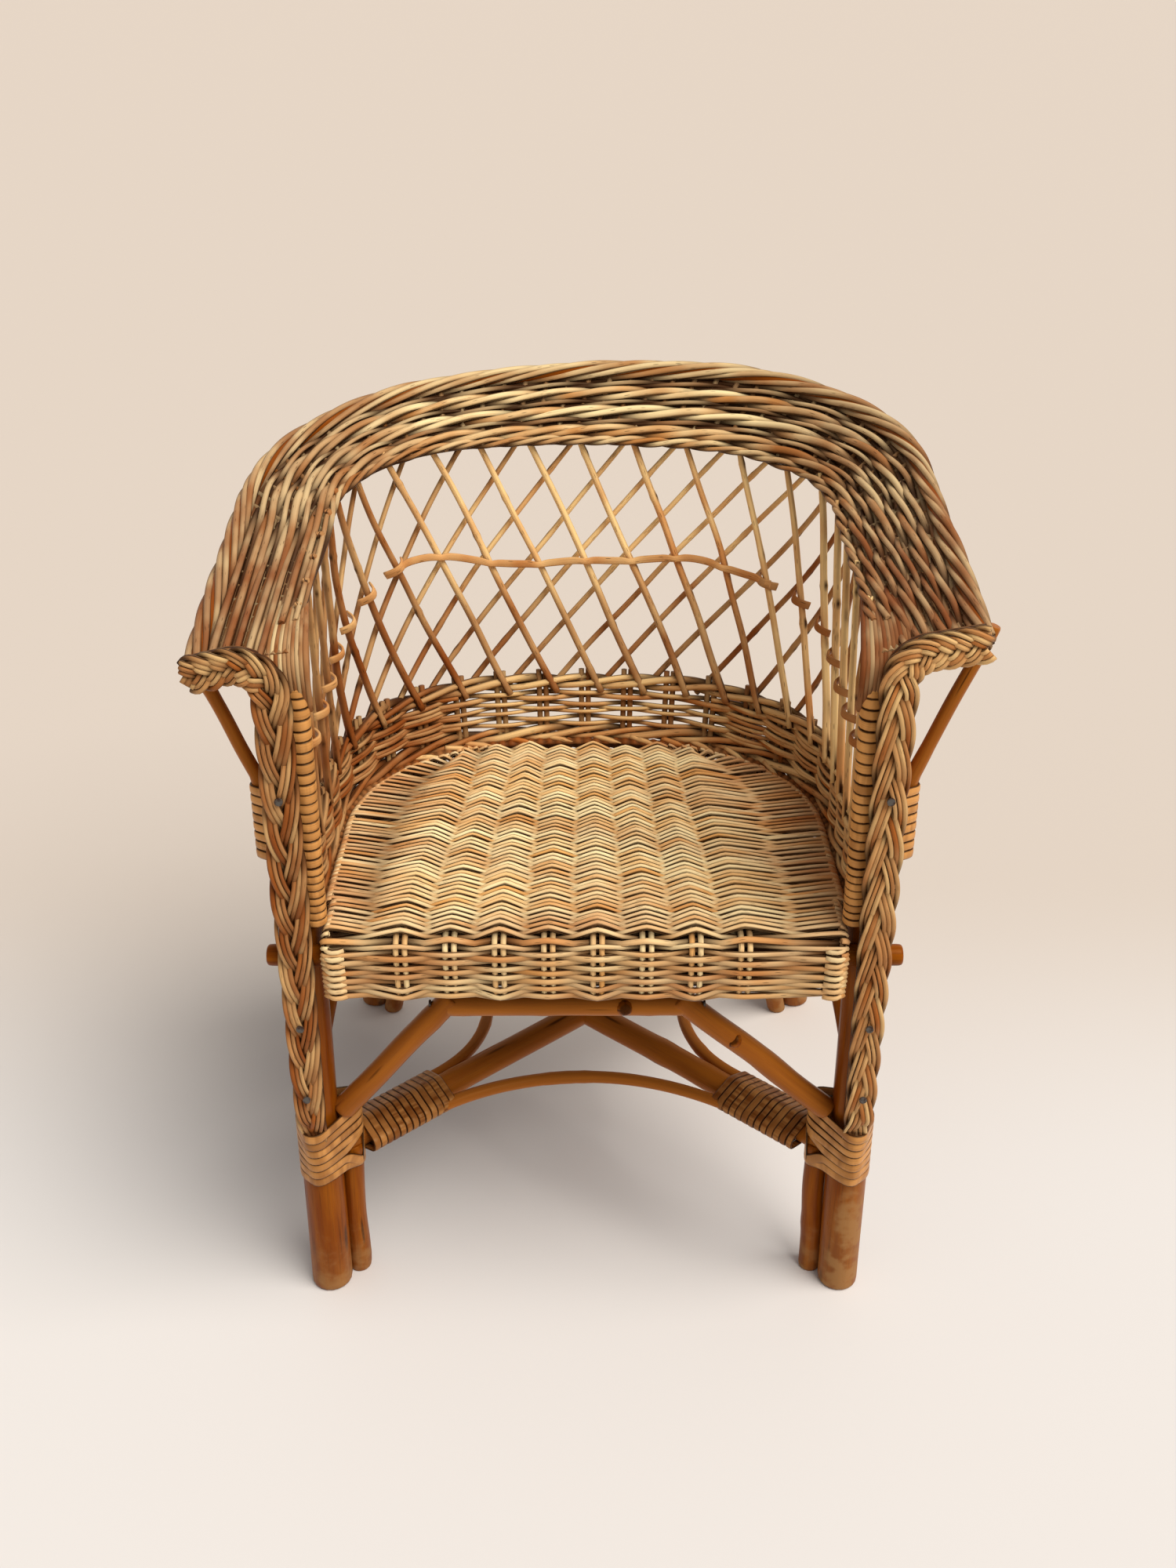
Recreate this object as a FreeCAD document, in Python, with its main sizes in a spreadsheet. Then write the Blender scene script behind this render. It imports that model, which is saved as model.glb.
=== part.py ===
import FreeCAD, Part
import math
import os

import Sketcher
from FreeCAD import Placement, Rotation, Vector

# Child's woven armchair: a frame of round poles, a woven seat, a woven tub-shaped shell
# with an open lattice, a broad woven rim that forms both arms, plaits and cane windings.
# Millimetres. +Z is up, +Y is towards the back, +X is to the right seen from the front.
# Depths are measured from the line through both front posts; the origin on the floor is
# under the middle of the whole outline.

SIZES = {
    # front posts and rear legs
    "post_foot_spacing": 348.0,
    "post_top_spacing": 328.0,
    "post_foot_diameter": 27.0,
    "post_top_diameter": 24.0,
    "rear_leg_diameter": 25.0,
    "rear_foot_spacing": 362.0,
    "rear_foot_depth": 308.0,
    "rear_leg_bearing": 60.0,
    "rear_leg_bite": 2.5,
    "rear_leg_drop": 20.0,
    "prop_diameter": 15.0,
    "prop_turn": 32.0,
    # stretchers between the legs, and the bows in their corners
    "stretcher_height": 115.0,
    "stretcher_diameter": 18.0,
    "bow_diameter": 9.0,
    "front_bow_radius": 175.0,
    "side_bow_radius": 95.0,
    "rear_bow_radius": 130.0,
    "bow_end_distance": 40.0,
    # arch under the front of the seat, and the side braces
    "arch_rail_height": 238.0,
    "arch_rail_length": 147.0,
    "arch_rail_offset": -11.5,
    "arch_rail_diameter": 15.0,
    "brace_diameter": 15.0,
    "brace_foot_height": 153.0,
    "brace_bite": 3.0,
    "side_brace_diameter": 13.0,
    "side_brace_reach": 85.0,
    # seat
    "seat_height": 304.0,
    "seat_thickness": 14.0,
    "seat_rail_diameter": 13.0,
    "seat_rail_overhang": 6.0,
    "seat_rail_let_in": 7.3,
    "rear_rail_gap": 16.0,
    "apron_drop": 42.0,
    "apron_thickness": 8.0,
    "apron_rib_height": 3.5,
    "seat_clearance": 0.6,
    "rib_count": 8.0,
    "rib_spacing": 28.6,
    "rib_offset": -6.9,
    "rib_height": 5.0,
    "rib_gather": 0.8,
    # woven band round the seat
    "shell_half_width": 157.0,
    "band_thickness": 11.0,
    "band_overlap": 13.0,
    "band_rise": 43.0,
    "band_bottom_depth": 225.0,
    "band_top_depth": 237.0,
    "band_corner_radius": 115.0,
    "back_radius": 400.0,
    # open lattice above the band
    "rod_diameter": 5.6,
    "rod_spacing": 32.7,
    "inner_rod_lean": 73.0,
    "outer_rod_lean": 140.0,
    "outer_rod_shift": -7.0,
    "rod_layer_gap": 1.5,
    "strip_height": 407.0,
    "strip_width": 8.0,
    "strip_thickness": 1.6,
    # broad rim with its border
    "rim_half_width": 155.0,
    "rim_depth": 267.0,
    "rim_corner_radius": 98.0,
    "arm_height": 481.0,
    "rim_back_height": 506.0,
    "rim_thickness": 12.0,
    "rim_rib_count": 3.0,
    "rim_rib_height": 4.0,
    "rim_rib_crest": 0.55,
    "border_half_width": 206.0,
    "border_depth": 306.0,
    "border_corner_radius": 155.0,
    "border_front_height": 484.0,
    "border_back_height": 543.0,
    "border_diameter": 15.0,
    "border_roll": 2.6,
    "hoop_diameter": 9.0,
    # plaits, end stakes and arm struts at the posts
    "plait_width": 21.0,
    "plait_thickness": 11.0,
    "plait_bend_radius": 18.0,
    "plait_end_height": 152.0,
    "stake_diameter": 9.0,
    "strut_diameter": 8.0,
    "strut_bound_length": 44.0,
    "strut_lean": 20.0,
    "strut_bend_radius": 22.0,
    "strut_winding_gap": 7.0,
    # cane windings and nails
    "cane_diameter": 3.0,
    "cane_pitch": 4.4,
    "loop_pitch": 5.6,
    "cane_clearance": 0.15,
    "post_winding_pitch": 6.4,
    "stretcher_winding_turns": 10.0,
    "stretcher_winding_slack": 2.6,
    "nail_head_diameter": 4.6,
    "nail_head_thickness": 1.2,
    "nail_shank_diameter": 1.8,
    "nail_length": 24.0,
}

os.makedirs("parts", exist_ok=True)
doc = FreeCAD.newDocument("armchair")
sheet = doc.addObject("Spreadsheet::Sheet", "Sizes")
for row, (alias, value) in enumerate(SIZES.items(), start=1):
    sheet.set("A%d" % row, alias)
    sheet.set("B%d" % row, str(value))
    sheet.setAlias("B%d" % row, alias)
doc.recompute()

nodes = []


def mm(alias):
    """The size in the sheet's cell of that name."""
    return float(sheet.get(alias))


def keep(item, label):
    """Register a document object as a finished sub-component."""
    item.Label = label
    nodes.append(item)
    return item


def feature(label, shape):
    """A document object that holds a shape made from the sheet's sizes."""
    item = doc.addObject("Part::Feature", label)
    item.Shape = shape
    item.Placement = Placement()
    return item


def pole(label, start, end, start_size, end_size=None, length=None):
    """A straight round pole, turned from a sketched half profile, between two points.

    The diameters are cells of the sheet; length is an expression on the sheet where the
    distance between both points has one.
    """
    end_size = end_size or start_size
    axis = end.sub(start)
    start_radius = mm(start_size) / 2
    end_radius = mm(end_size) / 2
    body = doc.addObject("PartDesign::Body", label)
    sketch = body.newObject("Sketcher::SketchObject", label + "_profile")
    plane = [item for item in body.Origin.OriginFeatures if item.Role == "XZ_Plane"][0]
    sketch.AttachmentSupport = [(plane, "")]
    sketch.MapMode = "FlatFace"
    corners = [
        Vector(0, 0, 0),
        Vector(start_radius, 0, 0),
        Vector(end_radius, axis.Length, 0),
        Vector(0, axis.Length, 0),
    ]
    for index in range(4):
        line = Part.LineSegment(corners[index], corners[(index + 1) % 4])
        sketch.addGeometry(line, False)
    for index in range(4):
        sketch.addConstraint(Sketcher.Constraint("Coincident", index, 2, (index + 1) % 4, 1))
    sketch.addConstraint(Sketcher.Constraint("Coincident", 0, 1, -1, 1))
    sketch.addConstraint(Sketcher.Constraint("Horizontal", 0))
    sketch.addConstraint(Sketcher.Constraint("Horizontal", 2))
    sketch.addConstraint(Sketcher.Constraint("Vertical", 3))
    named = {
        "start_radius": Sketcher.Constraint("DistanceX", 0, 1, 0, 2, start_radius),
        "end_radius": Sketcher.Constraint("DistanceX", 2, 2, 2, 1, end_radius),
        "pole_length": Sketcher.Constraint("DistanceY", 3, 2, 3, 1, axis.Length),
    }
    for name, constraint in named.items():
        sketch.renameConstraint(sketch.addConstraint(constraint), name)
    sketch.setExpression("Constraints.start_radius", "Sizes.%s / 2" % start_size)
    sketch.setExpression("Constraints.end_radius", "Sizes.%s / 2" % end_size)
    if length:
        sketch.setExpression("Constraints.pole_length", length)
    turned = body.newObject("PartDesign::Revolution", label + "_turned")
    turned.Profile = sketch
    turned.ReferenceAxis = (sketch, ["V_Axis"])
    turned.Angle = 360
    body.Placement = Placement(start, Rotation(Vector(0, 0, 1), axis))
    return body


def trimmed(label, base, *tools):
    """The base with each tool cut away, so that it fits against them."""
    for number, tool in enumerate(tools):
        cut = doc.addObject("Part::Cut", "%s_fit_%d" % (label, number))
        cut.Base = base
        cut.Tool = tool
        base = cut
    return base


def round_sweep(edges, diameter):
    """A round rod of one diameter along a smooth path of edges."""
    wire = Part.Wire(edges)
    first = edges[0]
    start = first.valueAt(first.FirstParameter)
    along = first.tangentAt(first.FirstParameter)
    ring = Part.Wire(Part.Circle(start, along, diameter / 2).toShape())
    return outward(wire.makePipeShell([ring], True, False))


def bent_path(start, corner, end, radius):
    """Edges from start to end: two straight runs and an arc that rounds their corner."""
    back = start.sub(corner).normalize()
    ahead = end.sub(corner).normalize()
    half_angle = back.getAngle(ahead) / 2
    reach = radius / math.tan(half_angle)
    first = corner.add(back * reach)
    last = corner.add(ahead * reach)
    inside = back.add(ahead).normalize()
    middle = corner.add(inside * (radius / math.sin(half_angle) - radius))
    return [
        Part.makeLine(start, first),
        Part.Arc(first, middle, last).toShape(),
        Part.makeLine(last, end),
    ]


def outward(solid):
    """The solid with its faces turned outwards."""
    if solid.Volume < 0:
        solid.reverse()
    return solid


class Outline:
    """A U-shaped line: straight sides, corner arcs and a shallow arc at the back.

    It lies in a plane that rises evenly from the front height at the post line to the
    back height, rolled so that its right side is higher. Positions along it are lengths
    from the middle of the back, positive to the right.
    """

    def __init__(self, half_width, depth, corner_radius, front_height, back_height, roll=0):
        self.size = (half_width, depth, corner_radius, front_height, back_height, roll)
        self.roll = Rotation(Vector(0, 1, 0), -roll)
        self.half_width = half_width
        self.corner_radius = corner_radius
        self.back_radius = mm("back_radius")
        self.front_height = front_height
        self.tilt = math.atan2(back_height - front_height, depth)
        self.reach = math.hypot(depth, back_height - front_height)
        self.corner_x = half_width - corner_radius
        radius_gap = self.back_radius - corner_radius
        rise = math.sqrt(radius_gap**2 - self.corner_x**2)
        self.corner_t = self.reach - self.back_radius + rise
        self.turn = math.atan2(rise, self.corner_x)
        self.back_half = self.back_radius * (math.pi / 2 - self.turn)
        self.corner_end = self.back_half + corner_radius * self.turn

    def half_length(self, front):
        """Length from the middle of the back to the front end of a side."""
        return self.corner_end + self.corner_t - front / math.cos(self.tilt)

    def at(self, position):
        """Point at a length from the middle of the back."""
        side = 1 if position >= 0 else -1
        run = abs(position)
        if run <= self.back_half:
            angle = math.pi / 2 - run / self.back_radius
            x = self.back_radius * math.cos(angle)
            t = self.reach - self.back_radius + self.back_radius * math.sin(angle)
        elif run <= self.corner_end:
            angle = self.turn - (run - self.back_half) / self.corner_radius
            x = self.corner_x + self.corner_radius * math.cos(angle)
            t = self.corner_t + self.corner_radius * math.sin(angle)
        else:
            x = self.half_width
            t = self.corner_t - (run - self.corner_end)
        level = Vector(side * x, t * math.cos(self.tilt), t * math.sin(self.tilt))
        return self.roll.multVec(level).add(place(0, 0, self.front_height))

    def edges(self, front):
        """The five edges from the left front end, round the back, to the right one."""
        end = self.half_length(front)
        stops = [-end, -self.corner_end, -self.back_half, self.back_half, self.corner_end, end]
        result = []
        for number, (first, last) in enumerate(zip(stops, stops[1:])):
            if number in (0, 4):
                result.append(Part.makeLine(self.at(first), self.at(last)))
            else:
                middle = self.at((first + last) / 2)
                result.append(Part.Arc(self.at(first), middle, self.at(last)).toShape())
        return result

    def moved(self, out, deeper, front_lift, back_lift):
        """A like outline, wider by out on each side, deeper at the back, and lifted."""
        half_width, depth, corner_radius, front_height, back_height, roll = self.size
        return Outline(
            half_width + out,
            depth + deeper,
            corner_radius + out,
            front_height + front_lift,
            back_height + back_lift,
            roll,
        )


def between(low, high, share):
    """The outline at a share of the way from one outline to another."""
    mixed = [(1 - share) * a + share * b for a, b in zip(low.size, high.size)]
    return Outline(*mixed)


def wall(corners, front):
    """A solid wall along four outlines, which are the corners of its section in turn."""
    rails = [corner.edges(front) for corner in corners]
    faces = []
    for first, second in zip(rails, rails[1:] + rails[:1]):
        for a, b in zip(first, second):
            faces.append(Part.makeRuledSurface(a, b))
    for end in (-1, 1):
        points = [corner.at(end * corner.half_length(front)) for corner in corners]
        faces.append(Part.Face(Part.makePolygon(points + points[:1])))
    shell = Part.makeShell(faces)
    shell.sewShape()
    return outward(Part.makeSolid(shell))


def upright_wall(low, high, thickness, front):
    """A wall of even thickness whose inner face runs from one outline to a higher one."""
    outer_low = low.moved(thickness, thickness, 0, 0)
    outer_high = high.moved(thickness, thickness, 0, 0)
    return wall([low, high, outer_high, outer_low], front)


def winding_path(radius, run, heights):
    """Edges of a winding round an upright bundle, from its local sizes.

    Straight runs along the bundle's long side alternate with half turns, each in a plane
    tilted to reach the next height, so that the path stays smooth.
    """
    edges = []
    for number, height in enumerate(heights):
        side = -1 if number % 2 == 0 else 1
        begin, finish = (0, run) if number % 2 == 0 else (run, 0)
        here = Vector(finish, side * radius, height)
        edges.append(Part.makeLine(Vector(begin, side * radius, height), here))
        if number + 1 < len(heights):
            climb = heights[number + 1] - height
            reach = math.hypot(radius, climb / 2)
            outward = 1 if finish == run else -1
            middle = Vector(finish + outward * reach, 0, height + climb / 2)
            there = Vector(finish, -side * radius, height + climb)
            edges.append(Part.Arc(here, middle, there).toShape())
    return edges


def winding(label, placement, radius, run, heights):
    """One unbroken cane wound round a bundle; prints its least gap to itself."""
    cane = mm("cane_diameter")
    path_radius = radius + mm("cane_clearance") + cane / 2
    edges = winding_path(path_radius, run, heights)
    wire = Part.Wire(edges)
    points = [tuple(point) for point in wire.discretize(Distance=1.0)]
    away = int(math.pi * path_radius)
    least = min(
        math.dist(point, other)
        for number, point in enumerate(points)
        for other in points[number + away:]
    )
    print("%s: %d half turns, least gap to itself %.2f mm" % (label, len(heights) - 1, least - cane))
    item = feature(label, round_sweep(edges, cane))
    item.Placement = placement
    return keep(item, label)


def steps(start, end, pitch):
    """Heights of the straight runs of a winding between two heights, half a pitch apart."""
    count = max(2, int((end - start) / (pitch / 2)))
    return [start + number * pitch / 2 for number in range(count + 1)]


def nail(point, direction, sunk):
    """A nail along a direction; its head stands off the surface by what isn't sunk."""
    way = Vector(direction).normalize()
    top = point.add(way * (sunk - mm("nail_head_thickness")))
    head = Part.makeCylinder(mm("nail_head_diameter") / 2, mm("nail_head_thickness"), top, way)
    shank = Part.makeCylinder(mm("nail_shank_diameter") / 2, mm("nail_length"), top, way)
    return head.fuse(shank).removeSplitter()


SIDES = (("left", -1), ("right", 1))
post_length = mm("arm_height") - mm("rim_thickness") / 2 + 1
cane = mm("cane_diameter")
skin = cane + 2 * mm("cane_clearance")


def post_radius(height):
    """Radius of a front post at a height."""
    foot = mm("post_foot_diameter") / 2
    return foot + (mm("post_top_diameter") / 2 - foot) * height / post_length


def post_x(height):
    """Distance of a front post's axis from the middle at a height."""
    foot = mm("post_foot_spacing") / 2
    return foot + (mm("post_top_spacing") / 2 - foot) * height / post_length


# Heights where the arm struts start, leave the posts and let the upper winding begin
band_top = mm("seat_height") + mm("band_rise")
strut_foot = band_top
strut_bend_height = strut_foot + mm("strut_bound_length")
strut_gap = mm("strut_diameter") + mm("strut_winding_gap")

# Depths of the front rail and the plaits, and the place of the post line
rail_radius = mm("seat_rail_diameter") / 2
seat_underside = mm("seat_height") - mm("seat_thickness")
seat_rail_height = seat_underside - rail_radius
front_rail_depth = -(post_radius(seat_rail_height) + rail_radius - mm("seat_rail_let_in"))
plait_back = front_rail_depth - rail_radius - 0.1
plait_depth = plait_back - mm("plait_thickness") / 2
nail_stand = mm("nail_head_thickness") / 2
front_reach = plait_back - mm("plait_thickness") - nail_stand
rear_foot_reach = mm("rear_foot_depth") + 0.52 * mm("rear_leg_diameter")
back_reach = max(mm("border_depth") + mm("border_diameter") / 2, rear_foot_reach)
post_line = -(front_reach + back_reach) / 2


def place(x, depth, height):
    """Point at a depth behind the post line."""
    return Vector(x, post_line + depth, height)


def post_axis(side, height):
    """Point on a front post's axis at a height."""
    return place(side * post_x(height), 0, height)


post_way = {}
post_inward = {}
for side_name, side in SIDES:
    way = post_axis(side, post_length).sub(post_axis(side, 0)).normalize()
    post_way[side_name] = way
    post_inward[side_name] = way.cross(Vector(0, side, 0))

# Outlines of the shell
band_bottom_height = mm("seat_height") - mm("band_overlap")
band_low = Outline(
    mm("shell_half_width"),
    mm("band_bottom_depth"),
    mm("band_corner_radius"),
    band_bottom_height,
    band_bottom_height,
)
band_high = Outline(
    mm("shell_half_width"),
    mm("band_top_depth"),
    mm("band_corner_radius"),
    band_top,
    band_top,
)
rim_inner = Outline(
    mm("rim_half_width"),
    mm("rim_depth"),
    mm("rim_corner_radius"),
    mm("arm_height"),
    mm("rim_back_height"),
)
border_line = Outline(
    mm("border_half_width"),
    mm("border_depth"),
    mm("border_corner_radius"),
    mm("border_front_height"),
    mm("border_back_height"),
    mm("border_roll"),
)
rim_bank = math.atan2(
    mm("border_back_height") - mm("rim_back_height"),
    mm("border_depth") - mm("rim_depth"),
)

# Broad rim, its border and the hoop inside the border
rim_half = mm("rim_thickness") / 2
border_radius = mm("border_diameter") / 2
rim_outer = border_line.moved(
    -border_radius,
    -border_radius * math.cos(rim_bank),
    0,
    -border_radius * math.sin(rim_bank),
)


def rim_line(share, lift):
    """The outline at a share of the rim's width, lifted square to its banked face."""
    line = between(rim_inner, rim_outer, share)
    return line.moved(0, -lift * math.sin(rim_bank), lift, lift * math.cos(rim_bank))


# The woven rows show as ribs along the top: a flat crest each, with a valley between them
rim_underside = rim_line(0, -rim_half)
rim_valley = rim_half - mm("rim_rib_height")
rim_rib_width = 1 / mm("rim_rib_count")
rim_section = [rim_underside, rim_line(0, rim_valley)]
for number in range(int(mm("rim_rib_count"))):
    rib_middle = (number + 0.5) * rim_rib_width
    crest_half = mm("rim_rib_crest") * rim_rib_width / 2
    rim_section.append(rim_line(rib_middle - crest_half, rim_half))
    rim_section.append(rim_line(rib_middle + crest_half, rim_half))
    rim_section.append(rim_line((number + 1) * rim_rib_width, rim_valley))
rim_section.append(rim_line(1, -rim_half))
rim = keep(feature("woven_rim", wall(rim_section, plait_back)), "woven_rim")
border_path = border_line.edges(plait_back + border_radius * math.sin(border_line.tilt))
border_solid = feature("border_envelope", round_sweep(border_path, mm("border_diameter")))
hoop = keep(feature("rim_hoop", round_sweep(border_path, mm("hoop_diameter"))), "rim_hoop")
keep(trimmed("rim_border", border_solid, hoop), "rim_border")

# Woven band round the seat
band_front = post_radius(mm("seat_height")) + skin
band = feature("seat_band", upright_wall(band_low, band_high, mm("band_thickness"), band_front))
keep(band, "seat_band")

# Lattice of two crossing layers of rods, each rod a separate piece
rod = mm("rod_diameter")
lattice_low = band_high.moved(mm("band_thickness") / 2, mm("band_thickness") / 2, 0, 0)
lattice_high = rim_underside.moved(rod, rod, 0, 0)
lattice_front = band_front + rod


def lattice_layer(label, offset, lean, shift):
    """One layer of leaning rods, trimmed between the band's top and the rim's underside.

    The rods stand at even shares of the half length, and lean less towards the front ends.
    """
    low = lattice_low.moved(offset, offset, 0, 0)
    high = lattice_high.moved(offset, offset, 0, 0)
    middle_half = between(low, high, 0.5).half_length(lattice_front)
    spread = mm("rod_spacing") / middle_half
    count = int((1 - abs(shift) / middle_half) / spread)
    rods = []
    for number in range(-count, count + 1):
        share = number * spread + shift / middle_half
        rods.append(lattice_rod(low, high, share, lean * (1 - share**2)))
    shape = Part.makeCompound(rods).common(lattice_room).cut(rim.Shape)
    return keep(feature(label, shape), label)


def lattice_rod(low, high, share, lean):
    """A rod bent to lie along the lattice, a little longer at both ends for trimming."""
    points = []
    for number in range(-1, 8):
        rise = number / 6
        level = between(low, high, rise)
        points.append(level.at(share * level.half_length(lattice_front) + lean * (0.5 - rise)))
    curve = Part.BSplineCurve()
    curve.interpolate(points)
    return round_sweep([curve.toShape()], rod)


def level_frame(outline):
    """A large rectangle in an outline's plane."""
    half = 2 * outline.half_width
    corners = []
    for x, t in ((-half, -half), (half, -half), (half, 3 * half), (-half, 3 * half)):
        height = outline.front_height + t * math.sin(outline.tilt)
        corners.append(place(x, t * math.cos(outline.tilt), height))
    return Part.makePolygon(corners + corners[:1])


lattice_room = Part.makeLoft([level_frame(lattice_low), level_frame(lattice_high)], True, True)
layer_offset = (rod + mm("rod_layer_gap")) / 2
lattice_layer("lattice_rods_inner", -layer_offset, mm("inner_rod_lean"), 0)
lattice_layer("lattice_rods_outer", layer_offset, -mm("outer_rod_lean"), mm("outer_rod_shift"))

# Flat strip round the inside of the lattice
strip_half = mm("strip_width") / 2
strip_face = -(layer_offset + rod / 2 + mm("rod_layer_gap") + mm("strip_thickness"))


def lattice_level(height):
    """The lattice's outline at a height above the floor at its front end."""
    span = lattice_high.front_height - lattice_low.front_height
    share = (height - lattice_low.front_height) / span
    level = between(lattice_low, lattice_high, share)
    return level.moved(strip_face, strip_face, 0, 0)


strip_low = lattice_level(mm("strip_height") - strip_half)
strip_high = lattice_level(mm("strip_height") + strip_half)
strip_shape = upright_wall(strip_low, strip_high, mm("strip_thickness"), lattice_front + rod)
keep(feature("waist_strip", strip_shape), "waist_strip")

# Front seat rail, let into the front of both posts
rail_half = post_x(seat_rail_height) + post_radius(seat_rail_height) + mm("seat_rail_overhang")
front_rail = pole(
    "front_seat_rail",
    place(-rail_half, front_rail_depth, seat_rail_height),
    place(rail_half, front_rail_depth, seat_rail_height),
    "seat_rail_diameter",
)
keep(front_rail, "front_seat_rail")

# Floor, for trimming the feet of leaning poles
floor = doc.addObject("Part::Box", "floor_trim")
floor.setExpression("Length", "4 * Sizes.post_foot_spacing")
floor.setExpression("Width", "4 * Sizes.post_foot_spacing")
floor.setExpression("Height", "Sizes.stretcher_height")
floor_side = 2 * mm("post_foot_spacing")
floor.Placement.Base = Vector(-floor_side, -floor_side, -mm("stretcher_height"))

# Plaits along the arm fronts and down the posts, with their nails
plait_nails = []
plaits = {}
for side_name, side in SIDES:
    arm_end = border_line.at(side * border_line.half_length(plait_back))
    corner_height = mm("arm_height") + 1
    start = Vector(arm_end.x + side * border_radius, post_line + plait_depth, arm_end.z)
    corner = place(side * post_x(corner_height), plait_depth, corner_height)
    finish = place(side * post_x(mm("plait_end_height")), plait_depth, mm("plait_end_height"))
    path = Part.Wire(bent_path(start, corner, finish, mm("plait_bend_radius")))
    section = Part.Ellipse(Vector(), mm("plait_width") / 2, mm("plait_thickness") / 2).toShape()
    along = corner.sub(start)
    upright = along.cross(Vector(0, 1, 0))
    section.Placement = Placement(start, Rotation(upright, Vector(0, 1, 0), along, "ZYX"))
    shape = outward(path.makePipeShell([Part.Wire(section)], True, False))
    plaits[side_name] = feature("plait_%s_blank" % side_name, shape)
    span = seat_underside - mm("plait_end_height")
    nail_heights = [mm("plait_end_height") + share * span for share in (0.25, 0.65)]
    for height in nail_heights + [strut_bend_height + strut_gap / 2]:
        front = place(side * post_x(height), plait_back - mm("plait_thickness"), height)
        plait_nails.append(nail(front, Vector(0, 1, 0), nail_stand))
nails = keep(feature("plait_nails", Part.makeCompound(plait_nails)), "plait_nails")
for side_name, side in SIDES:
    label = "front_plait_" + side_name
    keep(trimmed(label, plaits[side_name], nails), label)

# Front posts, trimmed under the rim and on the floor, notched for the rail, bored for nails
posts = {}
for side_name, side in SIDES:
    blank = pole(
        "front_post_%s_blank" % side_name,
        post_axis(side, -1),
        post_axis(side, post_length),
        "post_foot_diameter",
        "post_top_diameter",
    )
    posts[side_name] = blank
    label = "front_post_" + side_name
    keep(trimmed(label, blank, floor, rim, front_rail, nails), label)

# Rear legs, splayed to the back, trimmed by the band and level on the floor
bearing = math.radians(mm("rear_leg_bearing"))
leg_radius = mm("rear_leg_diameter") / 2
rear_top_height = band_top - mm("rear_leg_drop")
band_share = (rear_top_height - band_bottom_height) / (band_top - band_bottom_height)
top_line = between(band_low, band_high, band_share)
band_face = top_line.corner_radius + mm("band_thickness")
top_reach = band_face + leg_radius - mm("rear_leg_bite")
rear_top_x = top_line.corner_x + top_reach * math.cos(bearing)
rear_top_depth = top_line.corner_t + top_reach * math.sin(bearing)


def rear_axis(side, height):
    """Point on a rear leg's axis at a height."""
    share = height / rear_top_height
    x = mm("rear_foot_spacing") / 2 * (1 - share) + rear_top_x * share
    depth = mm("rear_foot_depth") * (1 - share) + rear_top_depth * share
    return place(side * x, depth, height)


rear_way = {}
rear_blanks = {}
for side_name, side in SIDES:
    rear_way[side_name] = rear_axis(side, rear_top_height).sub(rear_axis(side, 0)).normalize()
    blank = pole(
        "rear_leg_%s_blank" % side_name,
        rear_axis(side, -leg_radius),
        rear_axis(side, rear_top_height),
        "rear_leg_diameter",
    )
    rear_blanks[side_name] = blank

# Stretchers: one through pole and two half poles, shaped to fit the legs and each other
stretch = mm("stretcher_height")
leg_at_stretch = {
    "front_left": post_axis(-1, stretch),
    "front_right": post_axis(1, stretch),
    "rear_left": rear_axis(-1, stretch),
    "rear_right": rear_axis(1, stretch),
}
blanks = {
    "front_left": posts["left"],
    "front_right": posts["right"],
    "rear_left": rear_blanks["left"],
    "rear_right": rear_blanks["right"],
}
front_arm = leg_at_stretch["front_left"]
whole = leg_at_stretch["rear_right"].sub(front_arm)
centre = front_arm.add(whole * (-front_arm.x / whole.x))
through = pole("stretcher_blank", front_arm, leg_at_stretch["rear_right"], "stretcher_diameter")
diagonal = trimmed("stretcher_diagonal", through, blanks["front_left"], blanks["rear_right"])
keep(diagonal, "stretcher_diagonal")
stretchers = {"front_left": diagonal, "rear_right": diagonal}
for corner in ("front_right", "rear_left"):
    arm = pole("stretcher_%s_blank" % corner, leg_at_stretch[corner], centre, "stretcher_diameter")
    label = "stretcher_arm_" + corner
    stretchers[corner] = keep(trimmed(label, arm, blanks[corner], through), label)

# Props beside the legs, under the stretchers
prop_radius = mm("prop_diameter") / 2
prop_way = {}
for corner, foot in leg_at_stretch.items():
    side_name = corner.split("_")[1]
    side = -1 if side_name == "left" else 1
    if corner.startswith("front"):
        along = post_way[side_name]
        way = Rotation(along, -side * mm("prop_turn")).multVec(post_inward[side_name])
        offset = post_radius(0) + prop_radius
    else:
        along = rear_way[side_name]
        inward = centre.sub(foot)
        way = inward.sub(along * inward.dot(along)).normalize()
        offset = leg_radius + prop_radius
    prop_way[corner] = way
    axis = foot.add(way * offset)
    low = axis.sub(along * ((axis.z + prop_radius) / along.z))
    blank = pole("prop_%s_blank" % corner, low, axis, "prop_diameter")
    label = "leg_prop_" + corner
    keep(trimmed(label, blank, floor, stretchers[corner]), label)

# Bows in the four corners between the stretcher arms
bow_offset = (mm("stretcher_diameter") + mm("bow_diameter")) / 2


def bow(label, first, second, radius):
    """A rod along two stretcher arms, with an arc between them that turns their corner."""
    arms = [leg_at_stretch[name].sub(centre) for name in (first, second)]
    ways = [Vector(arm).normalize() for arm in arms]
    inside = ways[0].add(ways[1]).normalize()
    corner = centre.add(inside * (bow_offset / math.sin(ways[0].getAngle(inside))))
    ends = []
    for arm, way in zip(arms, ways):
        across = corner.sub(centre).sub(way * corner.sub(centre).dot(way))
        ends.append(centre.add(way * (arm.Length - mm("bow_end_distance"))).add(across))
    edges = bent_path(ends[0], corner, ends[1], radius)
    return keep(feature(label, round_sweep(edges, mm("bow_diameter"))), label)


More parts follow.
